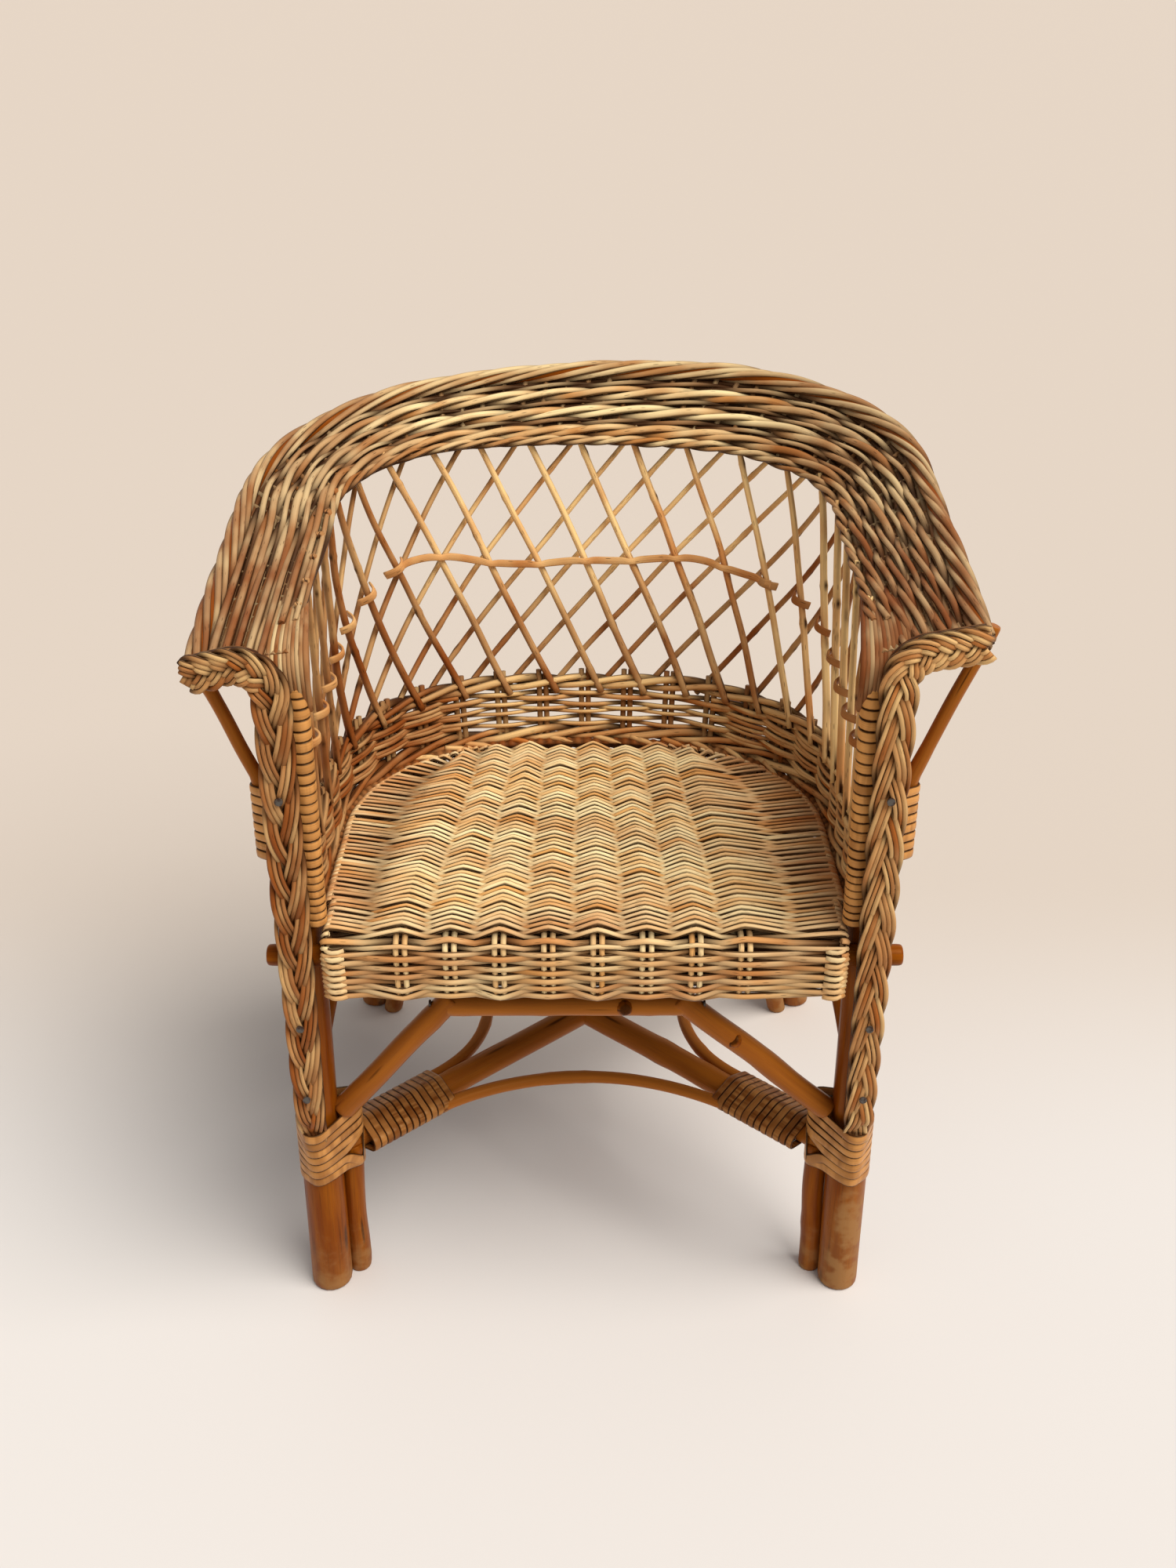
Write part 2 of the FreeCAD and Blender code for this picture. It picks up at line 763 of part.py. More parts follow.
bow("stretcher_bow_front", "front_left", "front_right", mm("front_bow_radius"))
bow("stretcher_bow_rear", "rear_left", "rear_right", mm("rear_bow_radius"))
bow("stretcher_bow_left", "front_left", "rear_left", mm("side_bow_radius"))
bow("stretcher_bow_right", "front_right", "rear_right", mm("side_bow_radius"))

# Side and rear seat rails
side_rails = {}
for side_name, side in SIDES:
    blank = pole(
        "side_rail_%s_blank" % side_name,
        post_axis(side, seat_rail_height),
        rear_axis(side, seat_rail_height),
        "seat_rail_diameter",
    )
    side_rails[side_name] = blank


def on_side_rail(side, depth):
    """Point on a side rail's axis at a depth."""
    front = post_axis(side, seat_rail_height)
    back = rear_axis(side, seat_rail_height)
    return front.add(back.sub(front) * (depth / (back.y - front.y)))


rear_leg_depth = rear_axis(1, seat_rail_height).y - post_line
rear_rail_depth = rear_leg_depth - leg_radius - rail_radius - mm("rear_rail_gap")
rear_rail = pole(
    "rear_rail_blank",
    on_side_rail(-1, rear_rail_depth),
    on_side_rail(1, rear_rail_depth),
    "seat_rail_diameter",
)
label = "rear_seat_rail"
keep(trimmed(label, rear_rail, side_rails["left"], side_rails["right"]), label)

# Arch under the seat front: a rail between two braces, and the nails in its joints
frame_nails = []
braces = {}
arch_half = mm("arch_rail_length") / 2
for side_name, side in SIDES:
    joint = place(mm("arch_rail_offset") + side * arch_half, 0, mm("arch_rail_height"))
    inner_face = post_x(mm("brace_foot_height")) - post_radius(mm("brace_foot_height"))
    foot = place(side * (inner_face - mm("brace_bite")), 0, mm("brace_foot_height"))
    reach = joint.sub(foot)
    top = joint.add(reach.normalize() * (mm("brace_diameter") * 0.7))
    braces[side_name] = pole("front_brace_%s_blank" % side_name, foot, top, "brace_diameter")
    slope = abs(reach.z)
    outside = joint.add(Vector(side * mm("brace_diameter") / 2 / slope, 0, 0))
    frame_nails.append(nail(outside, Vector(-side, 0, 0), nail_stand))
arch_rail = pole(
    "arch_rail_blank",
    place(mm("arch_rail_offset") - arch_half, 0, mm("arch_rail_height")),
    place(mm("arch_rail_offset") + arch_half, 0, mm("arch_rail_height")),
    "arch_rail_diameter",
    length="Sizes.arch_rail_length",
)
for side_name, side in SIDES:
    way = on_side_rail(side, 0).sub(on_side_rail(side, rear_rail_depth)).normalize()
    leg = rear_axis(side, seat_rail_height)
    frame_nails.append(nail(leg.sub(way * leg_radius), way, nail_stand))
fixings = keep(feature("frame_nails", Part.makeCompound(frame_nails)), "frame_nails")
label = "arch_rail"
keep(trimmed(label, arch_rail, braces["left"], braces["right"], fixings), label)
for side_name, side in SIDES:
    label = "front_brace_" + side_name
    keep(trimmed(label, braces[side_name], posts[side_name], fixings), label)
    label = "side_seat_rail_" + side_name
    rail = trimmed(label, side_rails[side_name], posts[side_name], rear_blanks[side_name], fixings)
    keep(rail, label)
    label = "rear_leg_" + side_name
    keep(trimmed(label, rear_blanks[side_name], floor, band, fixings), label)

# Side braces from behind the front legs to the side rails
for side_name, side in SIDES:
    brace_radius = mm("side_brace_diameter") / 2
    behind = post_radius(mm("brace_foot_height"))
    foot = post_axis(side, mm("brace_foot_height")).add(Vector(side * brace_radius, behind, 0))
    top = on_side_rail(side, mm("side_brace_reach"))
    blank = pole("side_brace_%s_blank" % side_name, foot, top, "side_brace_diameter")
    label = "side_brace_" + side_name
    keep(trimmed(label, blank, posts[side_name], side_rails[side_name]), label)

# Woven seat with its front folded down over the rail
apron_front = plait_back - mm("apron_thickness")
seat_level = mm("seat_height")
apron_half = post_x(seat_level) - post_radius(seat_level) - mm("seat_clearance")
shoulder = band_front
seat_line = band_low.moved(
    -mm("seat_clearance"),
    -mm("seat_clearance"),
    seat_underside - band_bottom_height,
    seat_underside - band_bottom_height,
)
seat_edges = seat_line.edges(shoulder)
left_end = seat_edges[0].Vertexes[0].Point
right_end = seat_edges[-1].Vertexes[-1].Point
seat_bottom = seat_level - mm("apron_drop")


def valleys(share):
    """Places of the valleys between the ribs, drawn together to a share of their spacing."""
    count = int(mm("rib_count"))
    first = mm("rib_offset") - count / 2 * mm("rib_spacing")
    return [share * (first + number * mm("rib_spacing")) for number in range(count + 1)]


def arched(points, rise):
    """Arcs between neighbouring points, each with its middle raised."""
    arcs = []
    for first, last in zip(points, points[1:]):
        middle = first.add(last) * 0.5
        arcs.append(Part.Arc(first, middle.add(rise), last).toShape())
    return arcs


def joined(points):
    """Straight edges from point to point."""
    return [Part.makeLine(first, last) for first, last in zip(points, points[1:])]


def rib_section(depth, share):
    """Section across the seat at a depth: straight sides, arched over each rib."""
    edge = mm("shell_half_width")
    base = seat_level - mm("rib_height")
    tops = [place(x, depth, base) for x in [-edge] + valleys(share) + [edge]]
    low_right = place(edge, depth, seat_bottom)
    low_left = place(-edge, depth, seat_bottom)
    edges = arched(tops, Vector(0, 0, mm("rib_height")))
    return Part.Wire(edges + joined([tops[-1], low_right, low_left, tops[0]]))


# The seat is what its plan, its folded side section and its ribs have in common
right_corner = place(apron_half, shoulder, seat_underside)
left_corner = place(-apron_half, shoulder, seat_underside)
apron_valley = apron_front + mm("apron_rib_height")
front_x = [-apron_half] + valleys(1) + [apron_half]
front_points = [place(x, apron_valley, seat_underside) for x in reversed(front_x)]
seat_edges += joined([right_end, right_corner, front_points[0]])
seat_edges += arched(front_points, Vector(0, -mm("apron_rib_height"), 0))
seat_edges += joined([front_points[-1], left_corner, left_end])
seat_plan = Part.Face(Part.Wire(seat_edges))
seat_plan.translate(Vector(0, 0, seat_bottom - seat_underside))
plan_block = seat_plan.extrude(Vector(0, 0, mm("apron_drop")))
fold = mm("apron_thickness")
behind = mm("band_bottom_depth")
half_fold = fold * math.sqrt(0.5)
left = -mm("shell_half_width")
fold_start = place(left, apron_front, seat_level - fold)
fold_end = place(left, apron_front + fold, seat_level)
fold_middle = place(left, apron_front + fold - half_fold, seat_level - fold + half_fold)
apron_back = plait_back - mm("seat_clearance") / 6
side_points = [
    fold_end,
    place(left, behind, seat_level),
    place(left, behind, seat_underside),
    place(left, apron_back, seat_underside),
    place(left, apron_back, seat_bottom),
    place(left, apron_front, seat_bottom),
    fold_start,
]
side_edges = [Part.Arc(fold_start, fold_middle, fold_end).toShape()] + joined(side_points)
side_block = Part.Face(Part.Wire(side_edges)).extrude(Vector(-2 * left, 0, 0))
rib_block = Part.makeLoft([rib_section(apron_front, 1), rib_section(behind, mm("rib_gather"))], True, True)
seat_shape = plan_block.common(side_block).common(rib_block)
if len(seat_shape.Solids) != 1:
    raise RuntimeError("the woven seat isn't one solid")
seat_shape = seat_shape.Solids[0]
seat = keep(feature("woven_seat", seat_shape), "woven_seat")

# End stakes and arm struts beside the posts
stake_radius = mm("stake_diameter") / 2
strut_radius = mm("strut_diameter") / 2
stake_offset = post_radius(mm("seat_height")) + stake_radius
strut_offset = post_radius(strut_foot) + strut_radius
for side_name, side in SIDES:
    beside = post_inward[side_name] * stake_offset
    foot = post_axis(side, seat_level - mm("rib_height")).add(beside)
    head = post_axis(side, mm("arm_height") - rim_half - 2).add(beside)
    blank = pole("end_stake_%s_blank" % side_name, foot, head, "stake_diameter")
    label = "end_stake_" + side_name
    keep(trimmed(label, blank, seat), label)
    outside = post_inward[side_name] * -strut_offset
    low = post_axis(side, strut_foot).add(outside)
    corner = post_axis(side, strut_bend_height + mm("strut_bend_radius") / 5).add(outside)
    rise = border_line.at(side * border_line.half_length(0)).z - corner.z
    spread = rise * math.tan(math.radians(mm("strut_lean")))
    high = corner.add(Vector(side * spread, 0, rise))
    strut = round_sweep(bent_path(low, corner, high, mm("strut_bend_radius")), mm("strut_diameter"))
    label = "arm_strut_" + side_name
    keep(trimmed(label, feature(label + "_blank", strut), border_solid, rim), label)

# Cane windings round post, stake and strut
for side_name, side in SIDES:
    along = post_way[side_name]
    inward = post_inward[side_name]
    turned = Rotation(inward, along.cross(inward), along, "ZXY")
    top = mm("arm_height") - rim_half - 2 * cane - 2
    pitch = mm("post_winding_pitch")
    ranges = {
        "band_loop": (mm("seat_height") + cane, strut_foot - cane, mm("loop_pitch"), 0),
        "strut_winding": (strut_foot + cane, strut_bend_height - 1, pitch, mm("strut_diameter")),
        "post_winding": (strut_bend_height + strut_gap, top, pitch, 0),
    }
    for name, (low, high, step, outside) in ranges.items():
        radius = post_radius(low)
        origin = post_axis(side, 0).sub(inward * outside)
        run = stake_offset + stake_radius + outside - radius
        heights = steps(low, high, step)
        winding("%s_%s" % (name, side_name), Placement(origin, turned), radius, run, heights)

# Cane bindings round each leg and its prop, below and above the stretcher
for corner, foot in leg_at_stretch.items():
    side_name = corner.split("_")[1]
    if corner.startswith("front"):
        along = post_way[side_name]
        radius = post_radius(stretch - mm("stretcher_diameter"))
        reach = post_radius(0) + 2 * prop_radius
    else:
        along = rear_way[side_name]
        radius = leg_radius
        reach = leg_radius + 2 * prop_radius
    across = along.cross(prop_way[corner])
    turned = Rotation(prop_way[corner], across, along, "ZXY")
    clear = (mm("stretcher_diameter") / 2 + cane) / along.z
    pitch = mm("cane_pitch")
    below = steps(-clear - 2.5 * pitch, -clear, pitch)
    clear += reach * math.hypot(along.x, along.y) / along.z
    above = steps(clear, clear + 4 * pitch, pitch)
    if len(below) % 2 == 1:
        below = below[1:]
    winding("leg_binding_" + corner, Placement(foot, turned), radius, reach - radius, below + above)

# Cane windings over the stretcher arms and the bow ends on both their sides
for corner, foot in leg_at_stretch.items():
    along = centre.sub(foot).normalize()
    flat = Vector(0, 0, 1).cross(along)
    turned = Rotation(flat, along.cross(flat), along, "ZXY")
    radius = mm("stretcher_diameter") / 2
    run = 2 * (mm("bow_diameter") + mm("stretcher_winding_slack"))
    pitch = mm("cane_pitch")
    start = mm("bow_end_distance") + cane
    heights = steps(start, start + mm("stretcher_winding_turns") * pitch, pitch)
    origin = foot.sub(flat * (run / 2))
    winding("stretcher_winding_" + corner, Placement(origin, turned), radius, run, heights)

doc.recompute()
for item in doc.Objects:
    if "Invalid" in item.State or "Error" in item.State:
        raise RuntimeError("%s is not valid: %s" % (item.Label, item.State))
for item in nodes:
    shape = item.Shape
    if shape.isNull() or not shape.isValid():
        raise RuntimeError("%s has no valid shape" % item.Label)
    shape.exportStep("parts/%s.step" % item.Label)
print("%d sub-components" % len(nodes))
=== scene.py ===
import math

import bpy
import numpy as np
from bpy.props import FloatProperty, FloatVectorProperty, PointerProperty
from bpy.types import Operator, Panel, PropertyGroup
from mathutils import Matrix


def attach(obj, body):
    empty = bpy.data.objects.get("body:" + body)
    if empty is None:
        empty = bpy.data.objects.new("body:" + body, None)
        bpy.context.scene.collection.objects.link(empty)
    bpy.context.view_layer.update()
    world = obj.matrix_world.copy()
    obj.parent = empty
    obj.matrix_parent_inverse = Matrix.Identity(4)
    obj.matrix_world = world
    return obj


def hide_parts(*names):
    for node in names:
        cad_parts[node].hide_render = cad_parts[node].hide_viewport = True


# Looks of a child's woven armchair: every rod, plait and cane winding is swept along a
# path worked out with numpy, in metres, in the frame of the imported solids.

bl_info = {
    "name": "Woven armchair",
    "version": (1, 0, 0),
    "blender": (4, 5, 0),
    "location": "View3D > Sidebar > Armchair",
    "description": "Weaves a child's armchair of willow rods, poles and cane round its frame",
    "category": "Add Mesh",
}

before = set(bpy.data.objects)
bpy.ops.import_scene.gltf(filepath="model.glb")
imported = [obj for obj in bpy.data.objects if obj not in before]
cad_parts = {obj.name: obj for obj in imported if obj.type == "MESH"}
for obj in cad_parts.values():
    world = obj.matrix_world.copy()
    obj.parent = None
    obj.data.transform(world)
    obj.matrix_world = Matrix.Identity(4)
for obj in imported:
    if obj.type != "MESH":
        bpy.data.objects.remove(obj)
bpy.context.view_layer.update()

MM = 0.001
TAU = 2 * math.pi
SIDES = (("left", -1), ("right", 1))
UP = np.array([0.0, 0.0, 1.0])
BACKWARDS = np.array([0.0, 1.0, 0.0])

# Places of the frame, as in the part's drawing. Depths are behind the front posts.
POST_LINE = -145.5 * MM
POST_LENGTH = 476 * MM
POST_HALF = (174 * MM, 164 * MM)
POST_RADIUS = (13.5 * MM, 12 * MM)
REAR_RADIUS = 12.5 * MM
REAR_FOOT = np.array([181, 308]) * MM
REAR_TOP = np.array([110, 232.4]) * MM
REAR_TOP_HEIGHT = 327 * MM
REAR_RAIL_DEPTH = 207.5 * MM
PROP_RADIUS = 7.5 * MM
PROP_TURN = math.radians(32)
STRETCHER_HEIGHT = 115 * MM
STRETCHER_RADIUS = 9 * MM
BOW_RADIUS = 4.5 * MM
BOW_END = 40 * MM
SEAT_HEIGHT = 304 * MM
BAND_BOTTOM = 291 * MM
BAND_TOP = 347 * MM
BAND_FRONT = 15.8 * MM
RAIL_HEIGHT = 283.5 * MM
RAIL_RADIUS = 6.5 * MM
RAIL_DEPTH = -11.8 * MM
ARM_HEIGHT = 481 * MM
PLAIT_BACK = -18.4 * MM
PLAIT_DEPTH = -23.9 * MM
PLAIT_END = 150 * MM
BRACE_FOOT = 153 * MM
ARCH_HEIGHT = 238 * MM
ARCH_HALF = 73.5 * MM
ARCH_OFFSET = -11.5 * MM
STRUT_FOOT = 347 * MM
STRUT_BEND = 391 * MM
STAKE_RADIUS = 4.5 * MM
STAKE_TURN = math.radians(-45)
STRUT_RADIUS = 4 * MM


def unit(vectors):
    """Vectors divided by their length."""
    vectors = np.asarray(vectors, float)
    return vectors / np.linalg.norm(vectors, axis=-1, keepdims=True)


def between(first, last, share):
    """Straight blend: first at share 0, last at share 1."""
    return first + (last - first) * share


def place(x, depth, height):
    """Points at a depth behind the front posts."""
    return np.stack(np.broadcast_arrays(x, POST_LINE + depth, height), axis=-1)


def smooth(low, high, values):
    """Smooth step from 0 at low to 1 at high."""
    share = np.clip((np.asarray(values, float) - low) / (high - low), 0, 1)
    return share * share * (3 - 2 * share)


def drift(rng, rods, rings, amount, waves=4):
    """Wandering of each rod: a sum of sine waves of random phase and falling size."""
    number = np.arange(1, waves + 1)[:, None, None]
    phase = rng.random((waves, rods, 1)) * TAU
    weight = rng.normal(size=(waves, rods, 1)) / number
    share = np.linspace(0, 1, rings)
    return amount * (weight * np.sin(TAU * number * share + phase)).sum(axis=0)


def lengths_along(points):
    """Length of a line, or of each line of a stack, up to each of its points."""
    steps = np.linalg.norm(np.diff(points, axis=-2), axis=-1)
    return np.concatenate([np.zeros_like(steps[..., :1]), np.cumsum(steps, axis=-1)], axis=-1)


# ---------------------------------------------------------------- lines and sheets


class Outline:
    """U-shaped line: straight sides, corner arcs and a shallow arc at the back.

    It lies in a plane that rises from front to back and is rolled up to the right.
    Positions are lengths from the middle of the back, positive to the right.
    """

    back_radius = 400 * MM

    def __init__(self, half_width, depth, corner, front_height, back_height, roll=0.0):
        self.size = np.array([half_width, depth, corner, front_height, back_height, roll])
        self.half_width, self.corner, self.front_height = half_width, corner, front_height
        self.roll = math.radians(roll)
        self.tilt = math.atan2(back_height - front_height, depth)
        self.reach = math.hypot(depth, back_height - front_height)
        self.corner_x = half_width - corner
        rise = math.sqrt((self.back_radius - corner) ** 2 - self.corner_x**2)
        self.corner_t = self.reach - self.back_radius + rise
        self.turn = math.atan2(rise, self.corner_x)
        self.back_half = self.back_radius * (math.pi / 2 - self.turn)
        self.corner_end = self.back_half + corner * self.turn

    def half_length(self, front):
        """Length from the middle of the back to the front end of a side."""
        return self.corner_end + self.corner_t - front / math.cos(self.tilt)

    def at(self, position):
        """Points: cosine and sine of the back or corner arc, or the straight side."""
        run = np.abs(position)
        back = math.pi / 2 - run / self.back_radius
        bend = self.turn - (run - self.back_half) / self.corner
        on_back = run <= self.back_half
        on_corner = run <= self.corner_end
        x = np.where(on_corner, self.corner_x + self.corner * np.cos(bend), self.half_width)
        x = np.where(on_back, self.back_radius * np.cos(back), x) * np.sign(position)
        t = self.corner_t - (run - self.corner_end)
        t = np.where(on_corner, self.corner_t + self.corner * np.sin(bend), t)
        t = np.where(on_back, self.reach + self.back_radius * (np.sin(back) - 1), t)
        depth, rise = t * math.cos(self.tilt), t * math.sin(self.tilt)
        turned_x = x * math.cos(self.roll) - rise * math.sin(self.roll)
        turned_z = x * math.sin(self.roll) + rise * math.cos(self.roll)
        return np.stack([turned_x, POST_LINE + depth, self.front_height + turned_z], axis=-1)

    def moved(self, out, front_lift=0.0, back_lift=0.0, deeper=None):
        """A like outline, wider by out, deeper at the back, and lifted."""
        deeper = out if deeper is None else deeper
        return Outline(*(self.size + [out, deeper, out, front_lift, back_lift, 0]))

    def mixed(self, other, share):
        """The outline at a share of the way to another."""
        return Outline(*between(self.size, other.size, share))


class Sheet:
    """Ruled sheet between two outlines: along is -1 to 1 round it, across 0 to 1."""

    step = 0.004

    def __init__(self, first, second, front):
        self.first, self.second, self.front = first, second, front
        self.half = (first.half_length(front) + second.half_length(front)) / 2

    def edges(self, along):
        """Points of both outlines at the same share of their lengths."""
        first = self.first.at(along * self.first.half_length(self.front))
        second = self.second.at(along * self.second.half_length(self.front))
        return first, second

    def width(self, along):
        """Distance between both outlines."""
        first, second = self.edges(along)
        return np.linalg.norm(second - first, axis=-1)

    def point(self, along, across):
        """Straight line from the first outline to the second."""
        return between(*self.edges(along), np.asarray(across)[..., None])

    def normal(self, along, across):
        """Cross product of the steps along and across the sheet."""
        after = self.point(along + self.step, across)
        ahead = after - self.point(along - self.step, across)
        first, second = self.edges(along)
        return unit(np.cross(ahead, second - first))


BAND_LOW = Outline(162.5 * MM, 230.5 * MM, 120.5 * MM, BAND_BOTTOM, BAND_BOTTOM)
BAND_HIGH = Outline(162.5 * MM, 242.5 * MM, 120.5 * MM, BAND_TOP, BAND_TOP)
SEAT_EDGE = Outline(156.4 * MM, 224.4 * MM, 114.4 * MM, SEAT_HEIGHT, SEAT_HEIGHT)
RIM_INNER = Outline(155 * MM, 267 * MM, 98 * MM, ARM_HEIGHT, 506 * MM)
BORDER = Outline(206 * MM, 306 * MM, 155 * MM, 484 * MM, 543 * MM, 2.6)
LATTICE_HIGH = Outline(160.6 * MM, 276.6 * MM, 103.6 * MM, 475 * MM, 501.8 * MM)
LATTICE_FRONT = 21.4 * MM
LATTICE_LAYER = 3.55 * MM
LATTICE_SPACING = 32.7 * MM
INNER_LEAN = 73 * MM
OUTER_LEAN = 140 * MM
OUTER_SHIFT = -7 * MM
SHELL_MIDDLE = place(0, 100 * MM, 0)

band_sheet = Sheet(BAND_LOW, BAND_HIGH, BAND_FRONT)
rim_sheet = Sheet(RIM_INNER, BORDER, PLAIT_BACK)


def post_x(height):
    """Distance of a front post's axis from the middle at a height."""
    return between(*POST_HALF, height / POST_LENGTH)


def post_radius(height):
    """Radius of a front post at a height."""
    return between(*POST_RADIUS, height / POST_LENGTH)


def post_axis(side, height):
    """Point on a front post's axis."""
    return place(side * post_x(height), 0, height)


def rear_axis(side, height):
    """Point on a rear leg's axis."""
    x, depth = between(REAR_FOOT, REAR_TOP, height / REAR_TOP_HEIGHT)
    return place(side * x, depth, height)


def side_rail_point(side, depth):
    """Point on a side seat rail's axis, which goes from the post to the rear leg."""
    front, back = post_axis(side, RAIL_HEIGHT), rear_axis(side, RAIL_HEIGHT)
    return between(front, back, depth / (back[1] - front[1]))


def arch_joint(side):
    """Point where a front brace meets the arch rail."""
    return place(ARCH_OFFSET + side * ARCH_HALF, 0, ARCH_HEIGHT)


LEGS = {
    "front_left": (post_axis, -1),
    "front_right": (post_axis, 1),
    "rear_left": (rear_axis, -1),
    "rear_right": (rear_axis, 1),
}
leg_joint = {name: axis(side, STRETCHER_HEIGHT) for name, (axis, side) in LEGS.items()}
leg_way = {name: unit(axis(side, 0.3) - axis(side, 0)) for name, (axis, side) in LEGS.items()}
diagonal = leg_joint["rear_right"] - leg_joint["front_left"]
cross_centre = leg_joint["front_left"] - diagonal * leg_joint["front_left"][0] / diagonal[0]


def stake_offset(side, height):
    """From a front post's axis to its end stake, at the inner front of the post."""
    reach = np.asarray(post_radius(height) + STAKE_RADIUS)[..., None]
    return reach * (math.cos(STAKE_TURN) * inward(side) + math.sin(STAKE_TURN) * BACKWARDS)


def inward(side):
    """Direction square to a front post, towards the middle of the chair."""
    return unit(np.cross(leg_way["front_left" if side < 0 else "front_right"], side * BACKWARDS))


def prop_way(name):
    """Direction from a leg's axis to its prop: turned to the back, or to the middle."""
    axis, side = LEGS[name]
    if axis is post_axis:
        return math.cos(PROP_TURN) * inward(side) + math.sin(PROP_TURN) * BACKWARDS
    way = cross_centre - leg_joint[name]
    return unit(way - leg_way[name] * way.dot(leg_way[name]))


def bent_line(start, corner, end, radius, step):
    """Points at even steps along two straight runs and the arc that rounds their corner."""
    back, ahead = unit(start - corner), unit(end - corner)
    half = math.acos(np.clip(back.dot(ahead), -1, 1)) / 2
    reach = radius / math.tan(half)
    first, last = corner + back * reach, corner + ahead * reach
    inside = unit(back + ahead)
    centre = corner + inside * radius / math.sin(half)
    sweep_angle = math.pi - 2 * half
    arc_points = max(5, int(radius * sweep_angle / step))
    turn = np.linspace(-0.5, 0.5, arc_points)[1:-1, None] * sweep_angle
    sideways = unit(ahead - back)
    arc = centre + radius * (np.sin(turn) * sideways - np.cos(turn) * inside)
    runs = []
    for a, b in ((start, first), (last, end)):
        count = max(2, int(np.linalg.norm(b - a) / step))
        runs.append(between(a, b, np.linspace(0, 1, count)[:, None]))
    return np.concatenate([runs[0], arc, runs[1]])


# ---------------------------------------------------------------- swept meshes


class Bundle:
    """Swept rods that become one mesh object.

    Each vertex keeps three marks for the materials: tone is the rod's own shade; the second
    tells how deep it lies in the weave, which the willow paints as shade, and on the poles
    it darkens the cut ends of the stubs; age tells how much use and light it has seen.
    The UV map counts tenths of a metre along each rod from a random start, and goes once
    round it.
    """

    marks = ("tone", "grime", "age")
    uv_length = 0.1
    uv_shift = 40

    def __init__(self, seed):
        self.rng = np.random.default_rng(seed)
        self.count = 0
        self.points, self.loops, self.sizes, self.soft, self.uvs = [], [], [], [], []
        self.marked = {name: [] for name in self.marks}

    def add(self, paths, normals, width, height=None, sides=6, square=1.0, facing=None, **marks):
        """Carries a profile along a stack of paths, shaped (rods, rings, 3).

        The profile is cosine times width sideways and sine times height along the normal;
        square below 1 flattens it to a strip. Rings face along the path, or one given way.
        Marks are single, per rod or per ring.
        """
        paths = np.asarray(paths, float)
        rods, rings = paths.shape[:2]
        if facing is None:
            facing = unit(np.gradient(paths, axis=1))
        along = np.broadcast_to(facing, paths.shape)
        across = unit(np.cross(along, np.broadcast_to(normals, paths.shape)))
        lift = np.cross(across, along)
        angle = np.arange(sides) * TAU / sides + TAU / sides / 2
        cosine = np.sign(np.cos(angle)) * np.abs(np.cos(angle)) ** square
        sine = np.sign(np.sin(angle)) * np.abs(np.sin(angle)) ** square
        width = np.broadcast_to(width, (rods, rings))
        height = width if height is None else np.broadcast_to(height, (rods, rings))
        sideways = (width[..., None] * cosine)[..., None] * across[:, :, None]
        upwards = (height[..., None] * sine)[..., None] * lift[:, :, None]
        self.points.append((paths[:, :, None] + sideways + upwards).reshape(-1, 3))
        self._faces(paths, rods, rings, sides)
        marks.setdefault("tone", self.rng.random((rods, 1)))
        for name in self.marks:
            value = np.broadcast_to(marks.get(name, 0.0), (rods, rings))
            self.marked[name].append(np.repeat(value.ravel(), sides))
        self.count += rods * rings * sides

    def _faces(self, paths, rods, rings, sides):
        """Quads between neighbouring rings, a cap on both ends, and their UV places."""
        ids = self.count + np.arange(rods * rings * sides).reshape(rods, rings, sides)
        after = np.roll(ids, -1, axis=2)
        quads = np.stack([ids[:, :-1], ids[:, 1:], after[:, 1:], after[:, :-1]], axis=-1)
        caps = np.concatenate([ids[:, 0], ids[:, -1, ::-1]])
        self.loops += [quads.ravel(), caps.ravel()]
        self.sizes += [np.full(quads.size // 4, 4), np.full(2 * rods, sides)]
        self.soft += [np.ones(quads.size // 4, bool), np.zeros(2 * rods, bool)]
        run = lengths_along(paths) / self.uv_length
        run = run + self.uv_shift * self.rng.random((rods, 1))
        around = (np.arange(sides + 1) + 0.5) / sides
        u = np.stack([run[:, :-1], run[:, 1:], run[:, 1:], run[:, :-1]], axis=-1)[:, :, None]
        v = np.stack([around[:-1], around[:-1], around[1:], around[1:]], axis=-1)
        quad_uv = np.stack(np.broadcast_arrays(u, v[None, None]), axis=-1).reshape(-1, 2)
        ends = np.concatenate([run[:, 0], run[:, -1]])[:, None]
        cap_uv = np.stack(np.broadcast_arrays(ends, around[None, :-1]), axis=-1).reshape(-1, 2)
        self.uvs += [quad_uv, cap_uv]

    def build(self, name, material, slot, *nodes):
        """The mesh object, riding on the chair in place of its solids."""
        mesh = bpy.data.meshes.new(name)
        points = np.concatenate(self.points)
        loops, sizes = np.concatenate(self.loops), np.concatenate(self.sizes)
        mesh.vertices.add(len(points))
        mesh.vertices.foreach_set("co", points.ravel())
        mesh.loops.add(len(loops))
        mesh.loops.foreach_set("vertex_index", loops)
        mesh.polygons.add(len(sizes))
        mesh.polygons.foreach_set("loop_start", np.cumsum(sizes) - sizes)
        mesh.polygons.foreach_set("use_smooth", np.concatenate(self.soft))
        layer = mesh.uv_layers.new(name="strand")
        layer.uv.foreach_set("vector", np.concatenate(self.uvs).ravel())
        for mark, values in self.marked.items():
            attribute = mesh.attributes.new(mark, "FLOAT", "POINT")
            attribute.data.foreach_set("value", np.concatenate(values))
        mesh.update(calc_edges=True)
        mesh.validate()
        mesh.materials.append(material)
        piece = bpy.data.objects.new(name, mesh)
        bpy.context.scene.collection.objects.link(piece)
        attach(piece, "root")
        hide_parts(*nodes)
        return piece


# How unevenly twisted rods run: in phase, sideways, and in thickness along and between them.
PHASE_DRIFT = 0.12
SIDE_DRIFT = 0.5 * MM
THICKNESS_DRIFT = 0.06
THICKNESS_SPREAD = 0.07


